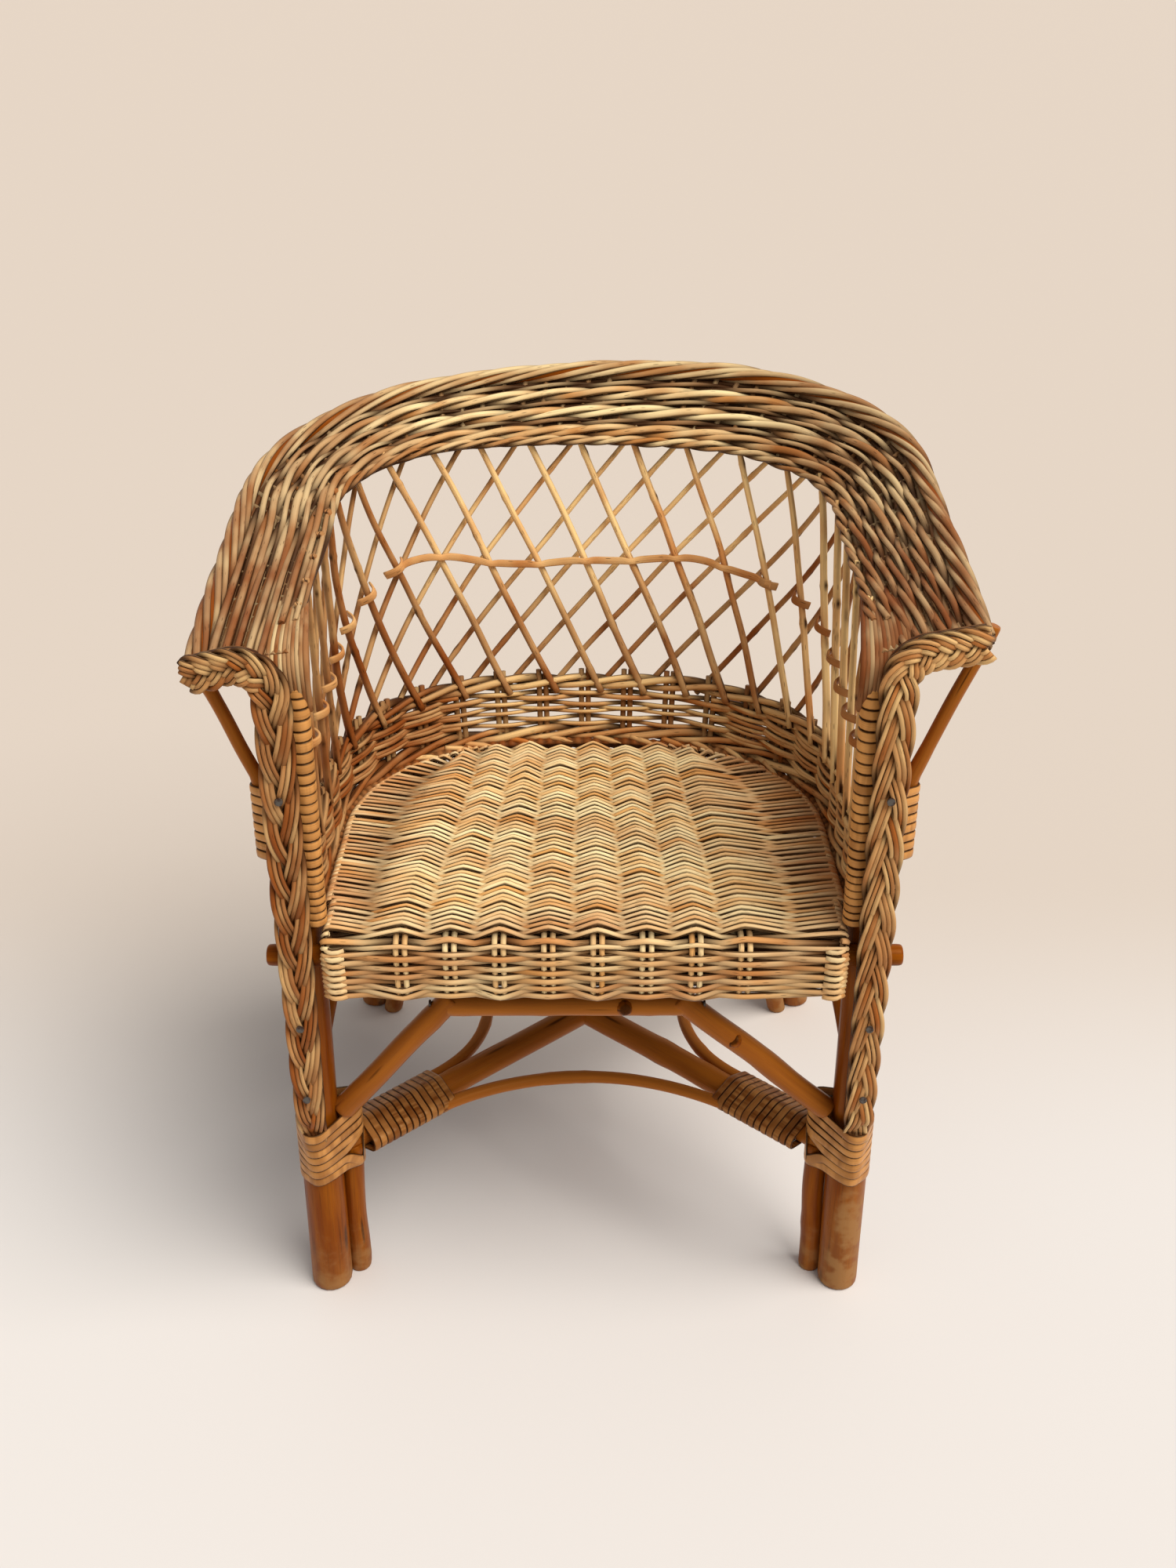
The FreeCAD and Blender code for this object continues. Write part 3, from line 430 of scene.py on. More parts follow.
def twist(bundle, sheet, across, strands, rod, lift, swing, period, rings, reach=1.0, **marks):
    """Rods twisted round a line of a sheet.

    Rod k is at the phase of the length over the period, summed up, plus k / strands; it is
    lifted off the sheet by the cosine and swung across it by the sine, like a rope's strands.
    """
    along = np.linspace(-reach, reach, rings)
    step = 2 * sheet.half / (rings - 1)
    turns = np.cumsum(np.broadcast_to(step / period, rings)) + np.arange(strands)[:, None] / strands
    phase = TAU * turns + drift(bundle.rng, strands, rings, PHASE_DRIFT)
    wander = drift(bundle.rng, strands, rings, SIDE_DRIFT, 9)
    sideways = across + (swing * np.sin(phase) + wander) / sheet.width(along)
    normal = sheet.normal(along, sideways)
    paths = sheet.point(along, sideways) + normal * (lift * np.cos(phase))[..., None]
    # Painted shade: each strand darkens where it turns down below the line, under the others.
    marks["grime"] = marks.get("grime", 0.0) + 0.5 - 0.5 * np.cos(phase)
    uneven = drift(bundle.rng, strands, rings, THICKNESS_DRIFT)
    own = THICKNESS_SPREAD * bundle.rng.normal(size=(strands, 1))
    bundle.add(paths, normal, rod * (1 + uneven + own), **marks)


def arm_part(points):
    """How far forward the rim's points lie: 0 at the back, 1 on the arms."""
    return smooth(0.11, -0.10, points[..., 1])


def arm_age(points):
    """Age of the rim: new at the middle of the back, browner at its corners and on the arms."""
    corner = 0.7 * smooth(0.09, 0.17, np.abs(points[..., 0]))
    return np.maximum(arm_part(points), corner)


# ---------------------------------------------------------------- finishes


class Wiring:
    """Adds nodes to a shader tree and joins them by socket."""

    def __init__(self, tree):
        self.tree = tree

    def node(self, kind, links=None, **settings):
        """A new node with its settings and links."""
        made = self.tree.nodes.new(kind)
        for key, value in settings.items():
            setattr(made, key, value)
        self.join(made, links or {})
        return made

    def join(self, node, links):
        """Joins inputs of a node to other sockets, or gives them plain values."""
        for key, value in links.items():
            if isinstance(value, bpy.types.NodeSocket):
                self.tree.links.new(value, node.inputs[key])
            else:
                node.inputs[key].default_value = value

    def calc(self, operation, first, second=0.0, third=0.0):
        """One step of arithmetic."""
        links = {0: first, 1: second, 2: third}
        return self.node("ShaderNodeMath", links, operation=operation).outputs[0]

    def blend(self, factor, first, second, kind="MIX"):
        """Mixture of two colours."""
        links = {0: factor, 6: first, 7: second}
        made = self.node("ShaderNodeMix", links, data_type="RGBA", blend_type=kind)
        return made.outputs[2]

    def ramp(self, value, low, high, start=0.0, end=1.0):
        """Value mapped from low..high to start..end, held at both ends."""
        links = {0: value, 1: low, 2: high, 3: start, 4: end}
        return self.node("ShaderNodeMapRange", links, interpolation_type="SMOOTHSTEP").outputs[0]

    def noise(self, vector, scale, detail=3.0):
        """Cloudy noise from 0 to 1."""
        links = {"Vector": vector, "Scale": scale, "Detail": detail}
        return self.node("ShaderNodeTexNoise", links).outputs["Fac"]

    def vector(self, x, y, z):
        """A vector from three values."""
        return self.node("ShaderNodeCombineXYZ", {0: x, 1: y, 2: z}).outputs[0]

    def mark(self, name):
        """A vertex mark of the piece."""
        return self.node("ShaderNodeAttribute", attribute_name=name).outputs["Fac"]

    def strand(self):
        """Place on a rod: length in tenths of a metre, and cosine and sine round it."""
        uv = self.node("ShaderNodeUVMap", uv_map="strand").outputs[0]
        split = self.node("ShaderNodeSeparateXYZ", {0: uv})
        angle = self.calc("MULTIPLY", split.outputs[1], TAU)
        return split.outputs[0], self.calc("COSINE", angle), self.calc("SINE", angle)

    def on_rod(self, strand, stretch, shift):
        """Place of a pattern on a rod: stretched along it and shifted from rod to rod."""
        length, cosine, sine = strand
        run = self.calc("MULTIPLY", length, stretch)
        return self.vector(run, cosine, self.calc("ADD", sine, shift))

    def spots(self, vector, scale, core, edge):
        """Round spots: 1 within the core distance of each cell's point, 0 past the edge."""
        cell = self.node("ShaderNodeTexVoronoi", {"Vector": vector, "Scale": scale})
        return self.ramp(cell.outputs["Distance"], core, edge, 1.0, 0.0)


def finish_group(fill, shades):
    """A node group with colour inputs that puts out Color, Roughness and Height."""
    name = fill.__name__.replace("_", " ").capitalize()
    group = bpy.data.node_groups.get(name)
    if group:
        return group
    group = bpy.data.node_groups.new(name, "ShaderNodeTree")
    for shade in shades:
        group.interface.new_socket(shade, in_out="INPUT", socket_type="NodeSocketColor")
    outputs = {"Color": "Color", "Roughness": "Float", "Height": "Float"}
    for output, kind in outputs.items():
        group.interface.new_socket(output, in_out="OUTPUT", socket_type="NodeSocket" + kind)
    wiring = Wiring(group)
    inputs = group.nodes.new("NodeGroupInput").outputs
    wiring.node("NodeGroupOutput", dict(zip(outputs, fill(wiring, inputs))))
    return group


# How far a pattern shifts between the palest and the darkest rod, so that no two look alike.
WILLOW_SHIFT = 37.0
POLE_SHIFT = 29.0
CANE_SHIFT = 31.0


def willow_finish(wiring, inputs):
    """Peeled willow: tone by rod and patch, fine fibres, specks, browning, and painted shade
    on the rods' flanks and deep in the weave.
    """
    strand = wiring.strand()
    length, _, sine = strand
    tone, grime, age = (wiring.mark(name) for name in Bundle.marks)
    shift = wiring.calc("MULTIPLY", tone, WILLOW_SHIFT)
    fibre = wiring.noise(wiring.on_rod(strand, 0.6, shift), 3.5, 4.0)
    patch = wiring.noise(wiring.vector(length, shift, 0.0), 2.2, 2.0)
    speck = wiring.spots(wiring.on_rod(strand, 5.0, shift), 1.5, 0.10, 0.20)
    warm = wiring.calc("MULTIPLY_ADD", tone, 0.85, wiring.ramp(patch, 0.3, 0.72, -0.4, 0.4))
    color = wiring.blend(warm, inputs["Pale"], inputs["Honey"])
    brown = wiring.calc("MULTIPLY", age, wiring.ramp(patch, 0.25, 0.7, 0.6, 1.0))
    color = wiring.blend(brown, color, inputs["Brown"])
    color = wiring.blend(wiring.ramp(fibre, 0.5, 0.85, 0.0, 0.6), color, inputs["Brown"])
    # Painted shade: each rod darkens on its flanks, where it meets its neighbours, and all over
    # where it lies deep in the weave.
    flank_shade = wiring.ramp(wiring.calc("ABSOLUTE", sine), 0.1, 0.8, 1.0, 0.0)
    flank_shade = wiring.calc("MULTIPLY", flank_shade, wiring.ramp(grime, -0.5, 0.3, 0.1, 1.0))
    deep = wiring.calc("MAXIMUM", flank_shade, wiring.ramp(grime, 0.2, 0.95, 0.0, 0.97))
    color = wiring.blend(deep, color, inputs["Grime"])
    color = wiring.blend(wiring.calc("MULTIPLY", speck, 0.65), color, inputs["Grime"])
    dull = wiring.calc("MULTIPLY_ADD", age, 0.18, 0.24)
    roughness = wiring.calc("MULTIPLY_ADD", fibre, 0.30, dull)
    height = wiring.calc("SUBTRACT", fibre, wiring.calc("MULTIPLY", speck, 0.5))
    return color, roughness, height


def pole_finish(wiring, inputs):
    """Varnished pole: streaks of two browns, fine grain, knots, and feet worn pale."""
    strand = wiring.strand()
    length, cosine, sine = strand
    shift = wiring.calc("MULTIPLY", wiring.mark("tone"), POLE_SHIFT)
    streak = wiring.noise(wiring.on_rod(strand, 0.9, shift), 1.6, 5.0)
    grain_place = wiring.vector(
        wiring.calc("MULTIPLY", length, 1.2),
        wiring.calc("MULTIPLY", cosine, 5.0),
        wiring.calc("MULTIPLY_ADD", sine, 5.0, shift),
    )
    grain = wiring.noise(grain_place, 2.2, 4.0)
    knot = wiring.spots(wiring.on_rod(strand, 1.1, shift), 0.9, 0.08, 0.17)
    color = wiring.blend(wiring.ramp(streak, 0.3, 0.72), inputs["Amber"], inputs["Rust"])
    color = wiring.blend(wiring.ramp(grain, 0.5, 0.8, 0.0, 0.5), color, inputs["Grime"])
    color = wiring.blend(wiring.mark("age"), color, inputs["Fresh"])
    color = wiring.blend(wiring.calc("MULTIPLY", knot, 0.8), color, inputs["Grime"])
    worn = foot_wear(wiring)
    color = wiring.blend(worn, color, inputs["Worn"])
    dirt = wiring.ramp(wiring.mark("grime"), 0.2, 1.0, 0.0, 0.85)
    color = wiring.blend(dirt, color, inputs["Grime"])
    dull = wiring.calc("MULTIPLY_ADD", grain, 0.25, 0.18)
    roughness = wiring.calc("MULTIPLY_ADD", worn, 0.3, dull)
    height = wiring.calc("MULTIPLY_ADD", grain, 0.5, wiring.calc("MULTIPLY", streak, 0.5))
    return color, roughness, height


def foot_wear(wiring):
    """Mottled wear that fades with the height, and reaches higher on the right feet."""
    spot = wiring.node("ShaderNodeTexCoord").outputs["Object"]
    x, _, height = wiring.node("ShaderNodeSeparateXYZ", {0: spot}).outputs
    low = wiring.calc("MULTIPLY_ADD", wiring.noise(spot, 160.0, 4.0), -0.05, height)
    low = wiring.calc("SUBTRACT", low, wiring.ramp(x, 0.16, 0.17, 0.0, 0.075))
    mottle = wiring.ramp(wiring.noise(spot, 85.0, 3.0), 0.4, 0.62, 0.25, 1.0)
    return wiring.calc("MULTIPLY", wiring.ramp(low, -0.035, 0.03, 0.85, 0.0), mottle)


def cane_finish(wiring, inputs):
    """Split cane: glossy skin with fine lines along it, and painted shade towards both edges."""
    length, cosine, sine = wiring.strand()
    tone = wiring.mark("tone")
    shift = wiring.calc("MULTIPLY", tone, CANE_SHIFT)
    line_place = wiring.vector(
        wiring.calc("MULTIPLY", length, 0.8),
        wiring.calc("MULTIPLY_ADD", cosine, 4.0, shift),
        sine,
    )
    line = wiring.noise(line_place, 2.0, 4.0)
    patch = wiring.noise(wiring.vector(length, shift, 0.0), 3.0, 2.0)
    warm = wiring.calc("MULTIPLY_ADD", tone, 0.7, wiring.ramp(patch, 0.3, 0.7, -0.2, 0.3))
    color = wiring.blend(warm, inputs["Pale"], inputs["Honey"])
    color = wiring.blend(wiring.ramp(line, 0.52, 0.8, 0.0, 0.6), color, inputs["Rust"])
    # Painted shade: each turn darkens towards its edges, in the creases between turns.
    edge = wiring.ramp(wiring.calc("ABSOLUTE", cosine), 0.6, 0.95, 0.0, 0.95)
    dirt = wiring.ramp(wiring.mark("grime"), 0.2, 1.0, 0.0, 0.9)
    color = wiring.blend(wiring.calc("MAXIMUM", edge, dirt), color, inputs["Grime"])
    roughness = wiring.calc("MULTIPLY_ADD", line, 0.25, 0.20)
    return color, roughness, line


def steel_finish(wiring, inputs):
    """Nail steel: grey with brown stains."""
    spot = wiring.node("ShaderNodeTexCoord").outputs["Object"]
    stain = wiring.noise(spot, 420.0, 4.0)
    color = wiring.blend(wiring.ramp(stain, 0.4, 0.7), inputs["Steel"], inputs["Stain"])
    return color, wiring.ramp(stain, 0.3, 0.8, 0.3, 0.65), stain


WARM_GLOSS = (1.0, 0.78, 0.45)
VARNISH_GLOSS = (1.0, 0.55, 0.2)
PLAIN_GLOSS = (1.0, 1.0, 1.0)
BUMP_DEPTH = 0.4 * MM


def finished(name, fill, settings, bump, gloss, tint, metallic=0.0):
    """A material: one finish group, its shades from the colour settings, and a Principled
    shader with its plain values."""
    material = bpy.data.materials.get(name)
    if material:
        return material
    material = bpy.data.materials.new(name)
    material.use_nodes = True
    wiring = Wiring(material.node_tree)
    colours = bpy.context.scene.armchair_colours
    shades = {shade: (*getattr(colours, key), 1.0) for shade, key in settings.items()}
    made = wiring.node("ShaderNodeGroup", node_tree=finish_group(fill, shades))
    wiring.join(made, shades)
    bumps = {"Height": made.outputs["Height"], "Strength": bump, "Distance": BUMP_DEPTH}
    values = {
        "Base Color": made.outputs["Color"],
        "Roughness": made.outputs["Roughness"],
        "Normal": wiring.node("ShaderNodeBump", bumps).outputs["Normal"],
        "Specular IOR Level": gloss,
        "Specular Tint": (*tint, 1.0),
        "Metallic": metallic,
    }
    wiring.join(material.node_tree.nodes["Principled BSDF"], values)
    return material


def willow(kind):
    """Peeled willow rods of the seat, the shell or the rim."""
    shades = {shade.capitalize(): kind + "_" + shade for shade in ("pale", "honey", "brown")}
    shades["Grime"] = "grime"
    return finished(
        kind + "_willow", willow_finish, shades, bump=0.35, gloss=0.2, tint=WARM_GLOSS
    )


def pole_varnish():
    """Varnished poles."""
    shades = {
        "Amber": "pole_amber",
        "Rust": "pole_rust",
        "Worn": "pole_worn",
        "Fresh": "pole_fresh",
        "Grime": "grime",
    }
    return finished(
        "pole_varnish", pole_finish, shades, bump=0.3, gloss=0.14, tint=VARNISH_GLOSS
    )


def cane_skin():
    """Split cane of the windings."""
    shades = {"Pale": "cane_pale", "Honey": "cane_honey", "Rust": "pole_rust", "Grime": "grime"}
    return finished("cane_skin", cane_finish, shades, bump=0.25, gloss=0.22, tint=WARM_GLOSS)


def stained_steel():
    """Stained steel of the nails."""
    shades = {"Steel": "steel", "Stain": "grime"}
    return finished(
        "stained_steel", steel_finish, shades, bump=0.2, gloss=0.4, tint=PLAIN_GLOSS, metallic=0.3
    )


# ---------------------------------------------------------------- settings


def length(name, description, default):
    """A length property in metres."""
    return FloatProperty(
        name=name, description=description, default=default, unit="LENGTH", precision=5
    )


def colour(name, description, default):
    """A colour property."""
    return FloatVectorProperty(
        name=name, description=description, default=default, subtype="COLOR", min=0.0, max=1.0
    )


class ArmchairRods(PropertyGroup):
    """Thickness and spacing of the rods and strips."""

    seat_rod: length("Seat rod", "Radius of the seat's weavers", 1.6 * MM)
    seat_pitch: length("Seat pitch", "Distance between rows on the seat", 2.35 * MM)
    apron_pitch: length("Apron pitch", "Distance between rows on the folded front", 3.2 * MM)
    seat_wave: length("Seat wave", "How far a weaver goes over and under a stake", 3.9 * MM)
    band_rod: length("Band rod", "Radius of the thin rows of the band", 1.7 * MM)
    wale_rod: length("Wale rod", "Radius of the thick rows of the band", 2.5 * MM)
    lattice_rod: length("Lattice rod", "Radius of the lattice's rods", 2.35 * MM)
    rim_rod: length("Rim rod", "Radius of the thick rows of the rim", 2.55 * MM)
    border_rod: length("Border rod", "Radius of the border's rods", 2.2 * MM)
    plait_rod: length("Plait rod", "Radius of the plaits' rods", 1.45 * MM)
    cane_width: length("Cane width", "Half of the cane's width on the posts", 2.3 * MM)
    cane_thickness: length("Cane thickness", "Half of the cane's thickness", 0.8 * MM)


class ArmchairColours(PropertyGroup):
    """Colours of willow, poles, cane and steel."""

    seat_pale: colour("Seat pale", "Pale rods of the seat", (0.98, 0.79, 0.43))
    seat_honey: colour("Seat honey", "Honey rods of the seat", (0.78, 0.40, 0.12))
    seat_brown: colour("Seat brown", "Blushed rods of the seat", (0.48, 0.165, 0.05))
    shell_pale: colour("Shell pale", "Pale rods of the shell", (0.92, 0.62, 0.27))
    shell_honey: colour("Shell honey", "Honey rods of the shell", (0.54, 0.17, 0.03))
    shell_brown: colour("Shell brown", "Browned rods of the shell", (0.225, 0.056, 0.009))
    rim_pale: colour("Rim pale", "Pale rods of the rim", (0.97, 0.76, 0.40))
    rim_honey: colour("Rim honey", "Honey rods of the rim", (0.55, 0.23, 0.058))
    rim_brown: colour("Rim brown", "Weathered rods of the rim", (0.205, 0.058, 0.016))
    # This dark colour is painted as shade on rod flanks, deep in the weave and between cane turns,
    # and is also the real colour of specks, knots, grain and nail stains.
    grime: colour("Grime", "Dirt deep in the weave", (0.030, 0.007, 0.0015))
    pole_amber: colour("Pole amber", "Light streaks of the poles", (0.28, 0.074, 0.0035))
    pole_rust: colour("Pole rust", "Dark streaks of the poles", (0.18, 0.036, 0.002))
    pole_worn: colour("Pole worn", "Bare wood at the feet", (0.34, 0.17, 0.06))
    pole_fresh: colour("Pole fresh", "Brighter rails and bows", (0.56, 0.20, 0.035))
    cane_pale: colour("Cane pale", "Light cane", (0.68, 0.315, 0.09))
    cane_honey: colour("Cane honey", "Dark cane", (0.18, 0.053, 0.009))
    steel: colour("Steel", "Nail heads", (0.09, 0.08, 0.07))
    floor_near: colour("Floor near", "Floor in front", (0.708, 0.670, 0.642))
    floor_far: colour("Floor far", "Floor at the back", (0.606, 0.527, 0.459))
    backdrop: colour("Backdrop", "Sky as the camera sees it", (0.783, 0.665, 0.558))


# ---------------------------------------------------------------- seat

SEAT_BACK = 222 * MM
SEAT_BACK_LEVEL = 294.5 * MM
SEAT_FRONT_LEVEL = 300.5 * MM
APRON_DEPTH = -23.5 * MM
APRON_BOTTOM = 262 * MM
APRON_HALF = 153 * MM
FOLD = 9 * MM
SEAT_TOP_RUN = SEAT_BACK - APRON_DEPTH - FOLD
SEAT_RUN = SEAT_TOP_RUN + FOLD * math.pi / 2 + SEAT_FRONT_LEVEL - FOLD - APRON_BOTTOM
STAKE_START = -107 * MM
STAKE_STEP = 28.6 * MM
STAKE_COUNT = 8
SEAT_STAKE = 1.9 * MM
STAKE_PAIR = 2.6 * MM
STAKE_RINGS = 70
STAKE_MARGIN = 2 * MM
ROW_GAP = 1 * MM
COLUMN_RINGS = 12
ROW_END_RINGS = 5
LINING_ROD = 2.3 * MM
LINING_PITCH = 4.2 * MM
LINING_LEVEL = 6.5 * MM
LINING_MARGINS = (6 * MM, 5 * MM)
LINING_INSET = 8 * MM
LINING_RINGS = 12
END_LOOP = 4.4 * MM
LOOP_ROD = 2.0 * MM
LOOP_PITCH = 4.6 * MM
LOOP_MARGIN = 1.5 * MM
LOOP_INSET = 7 * MM
LOOP_FRONT = 0.8 * MM
LOOP_SETBACK = 3 * MM
LOOP_STAKE = 11 * MM
# A loop's tails beside its half circle: places out from its middle, and depths in loop radii.
LOOP_TAIL = np.array([-6, -3]) * MM
TAIL_DEPTH = np.array([0.5, 0.85])

# The rows' zigzag: how round its ridges are, how far in millimetres rows are pushed back over
# the stakes, and how far the lowest rows dip under every second stake.
TIP = 0.10
PUSH = 2.3
PUSH_SPREAD = (-1.5, 1.7)
PUSH_LIMITS = (0.3, 5.5)
FOOT_DIP = 4.2 * MM

# Rows at the sides of the seat: how many draw together, and by how much.
BUNCH_ROWS = 4.4
BUNCH_DRAW = 1.3 * MM

# Rows keep a margin from both ends of the top. The lowest rows of the folded front lie denser:
# their height, the steps to the first and between them in shares of the pitch, and the heights
# between which they begin to dip.
ROW_MARGIN = 3 * MM
FOOT_ROWS = 9 * MM
FOOT_STEPS = (0.8, 0.72)
DIP_RISE = (17 * MM, 7 * MM)

# Lengths in millimetres past the top's front edge over which the zigzag fades, the waves
# flatten, the rods get stouter, and the top's wear and painted shade and the painted shade
# on the stakes end.
ZIGZAG_FADE = (4, 18)
WAVE_FADE = (0, 20)
STOUT_RISE = (-12, 8)
WEAR_AND_SHADE_END = (5, -40)
STAKE_SHADE_END = (0, 10)
ZIGZAG_LOSS = 0.95
WAVE_LOSS = 0.55
STOUT_GAIN = 0.22

# How uneven the rows are: waves, places, thickness, the mean and the spread of the tones, and
# the lengths of the blushes.
WAVE_DRIFT = 0.06
ROW_DRIFT = 0.28 * MM
ROW_SPREAD = 0.08
SEAT_TONE = 0.42
SEAT_TONE_SPREAD = 0.3
BLUSH_ACROSS = 31 * MM
BLUSH_ALONG = 43 * MM


def seat_profile(run):
    """Depth, height and normal at a length from the back: flat, quarter turn, straight down."""
    turn = np.clip((run - SEAT_TOP_RUN) / FOLD, 0, math.pi / 2)
    drop = np.maximum(run - SEAT_TOP_RUN - FOLD * math.pi / 2, 0)
    level = between(SEAT_BACK_LEVEL, SEAT_FRONT_LEVEL, np.clip(run / SEAT_TOP_RUN, 0, 1))
    depth = np.where(run < SEAT_TOP_RUN, SEAT_BACK - run, APRON_DEPTH + FOLD * (1 - np.sin(turn)))
    height = level - FOLD * (1 - np.cos(turn)) - drop
    normal = np.stack([np.zeros_like(turn), -np.sin(turn), np.cos(turn)], axis=-1)
    return depth, height, normal


def past_edge(runs, start, end):
    """Smooth step between two lengths, in millimetres, past the top's front edge."""
    return smooth(SEAT_TOP_RUN + start * MM, SEAT_TOP_RUN + end * MM, runs)


def seat_half_width(depth):
    """Half of the seat's width: corner circle, back arc, and the narrower front."""
    corner = SEAT_EDGE.corner**2 - np.maximum(depth - SEAT_EDGE.corner_t, 0) ** 2
    side = SEAT_EDGE.corner_x + np.sqrt(np.maximum(corner, 0))
    from_centre = depth - SEAT_EDGE.reach + SEAT_EDGE.back_radius
    back = np.sqrt(np.maximum(SEAT_EDGE.back_radius**2 - from_centre**2, 0))
    half = np.where(depth > SEAT_EDGE.corner_t, np.minimum(side, back), side)
    return np.minimum(half, np.where(depth < BAND_FRONT, APRON_HALF, half)) - ROW_GAP


def stake_spread(depth):
    """The stakes draw together towards the back."""
    return 1 - 0.2 * smooth(-0.02, 0.24, depth)


def stake_x(column, half, depth):
    """Place across the seat: the stakes are columns 0, 1, 2 and so on, the edges come next."""
    scale = stake_spread(depth)
    first = STAKE_START * scale
    last = first + (STAKE_COUNT - 1) * STAKE_STEP * scale
    inside = first + np.clip(column, 0, STAKE_COUNT - 1) * STAKE_STEP * scale
    left = np.minimum(column, 0) * (first + half)
    right = np.maximum(column - STAKE_COUNT + 1, 0) * (half - last)
    return inside + left + right


def gable(column):
    """Roof shape over each stake: 1 at its rounded ridge, falling straight to 0 halfway."""
    away = 2 * np.abs(column - np.round(column))
    return 1 + TIP - np.sqrt(TIP**2 + (1 + 2 * TIP) * away**2)


def chevrons(rng, runs, column):
    """How far each row is pushed back over each stake; the stakes differ, and so do the rows."""
    rows = len(runs)
    own = rng.uniform(*PUSH_SPREAD, STAKE_COUNT)
    waves = drift(rng, STAKE_COUNT, rows, 1.0, 3).T
    push = np.clip(PUSH + own + waves, *PUSH_LIMITS) * MM
    fade = 1 - ZIGZAG_LOSS * past_edge(runs, *ZIGZAG_FADE)
    stake = np.round(column).astype(int)
    inside = (stake >= 0) & (stake < STAKE_COUNT)
    low = smooth(*DIP_RISE, SEAT_RUN - runs)[:, None]
    dip = low * FOOT_DIP * (stake % 2 == 0)
    push = push[:, np.clip(stake, 0, STAKE_COUNT - 1)] * fade[:, None] - dip
    return push * inside * gable(column)


def bunches(rows, column):
    """Rows beyond the outer stakes draw together in groups, which leaves gaps: a sawtooth of
    the row's number times a half sine of the distance from the stake."""
    beyond = np.maximum(np.maximum(-column, column - STAKE_COUNT + 1), 0)
    number = np.arange(rows)[:, None] + 2 * (column > 0)
    place_in_group = np.mod(number / BUNCH_ROWS + 0.25 * np.sin(0.9 * number), 1)
    return BUNCH_DRAW * (2 * place_in_group - 1) * np.sin(0.8 * math.pi * beyond)


def seat_rows(bundle, runs, wave, thick):
    """Weavers from edge to edge, over one stake and under the next, turned over from row to
    row; both ends hook round the edge in half a circle."""
    rng = bundle.rng
    rows, hook = len(runs), ROW_END_RINGS
    column = np.linspace(-1, STAKE_COUNT, COLUMN_RINGS * (STAKE_COUNT + 1) + 1)
    depth, height, normal = (part[:, None] for part in seat_profile(runs))
    half = seat_half_width(depth) - wave
    x = stake_x(column, half, depth)
    side_up = np.cos(math.pi * (np.round(column) + np.arange(rows)[:, None]))
    flat = 1 - WAVE_LOSS * past_edge(runs, *WAVE_FADE)[:, None]
    uneven = 1 + drift(rng, rows, len(column), WAVE_DRIFT)
    lift = wave * flat * side_up * gable(column) * uneven
    push = chevrons(rng, runs, column)
    turn = np.linspace(0, math.pi, hook + 1)[1:]
    hooked = half + wave * np.sin(turn)
    x = np.concatenate([-hooked[:, ::-1], x, hooked], axis=1)
    ends = (lift[:, :1] * np.cos(turn))[:, ::-1], lift[:, -1:] * np.cos(turn)
    lift = np.concatenate([ends[0], lift, ends[1]], axis=1)
    push = np.pad(push, ((0, 0), (hook, hook)), mode="edge")
    wander = drift(rng, rows, x.shape[1], ROW_DRIFT, 7)
    push = push + wander + ROW_DRIFT * rng.normal(size=(rows, 1))
    top = past_edge(runs[:, None], *WEAR_AND_SHADE_END)
    push = push + top * bunches(rows, np.pad(column, hook, mode="edge"))
    back = np.cross(normal, [1.0, 0.0, 0.0])
    paths = place(x, depth, height) + normal * lift[..., None] + back * push[..., None]
    grime, age = seat_marks(rng, x, half, lift / wave, runs[:, None], top)
    stout = 1 + STOUT_GAIN * past_edge(runs[:, None], *STOUT_RISE)
    thickness = thick * stout * (1 + ROW_SPREAD * rng.normal(size=(rows, 1)))
    tone = np.clip(SEAT_TONE + SEAT_TONE_SPREAD * rng.normal(size=(rows, 1)), 0, 1)
    bundle.add(paths, normal, thickness, grime=grime, age=age, tone=tone)


def seat_marks(rng, x, half, lift, runs, top):
    """Painted shade and age of the rows.

    Painted shade lies where a rod dives and towards the edges of the top; on the right of the
    top it is painted lighter, as painted light against the shadow of the right arm. Age comes
    in wavy blushes, at the edges of the top, and all over the folded front.
    """
    edge = top * smooth(0.55, 1.0, np.abs(x) / half)
    right = smooth(0.02, 0.12, x)
    grime = 0.47 - 0.45 * lift + 0.22 * edge * (1 - 1.4 * right)
    grime = grime + 0.04 * (1 - top) - 0.12 * right * top
    blush = 0.5 + 0.5 * np.sin(x / BLUSH_ACROSS + 5.5 * np.sin(runs / BLUSH_ALONG))
    age = 0.36 * blush + 0.45 * edge + 0.12 * rng.random((len(runs), 1)) - 0.12
    age = age + 0.4 * (1 - top) + 0.1 * right * top
    return grime, np.clip(age, 0, 1)


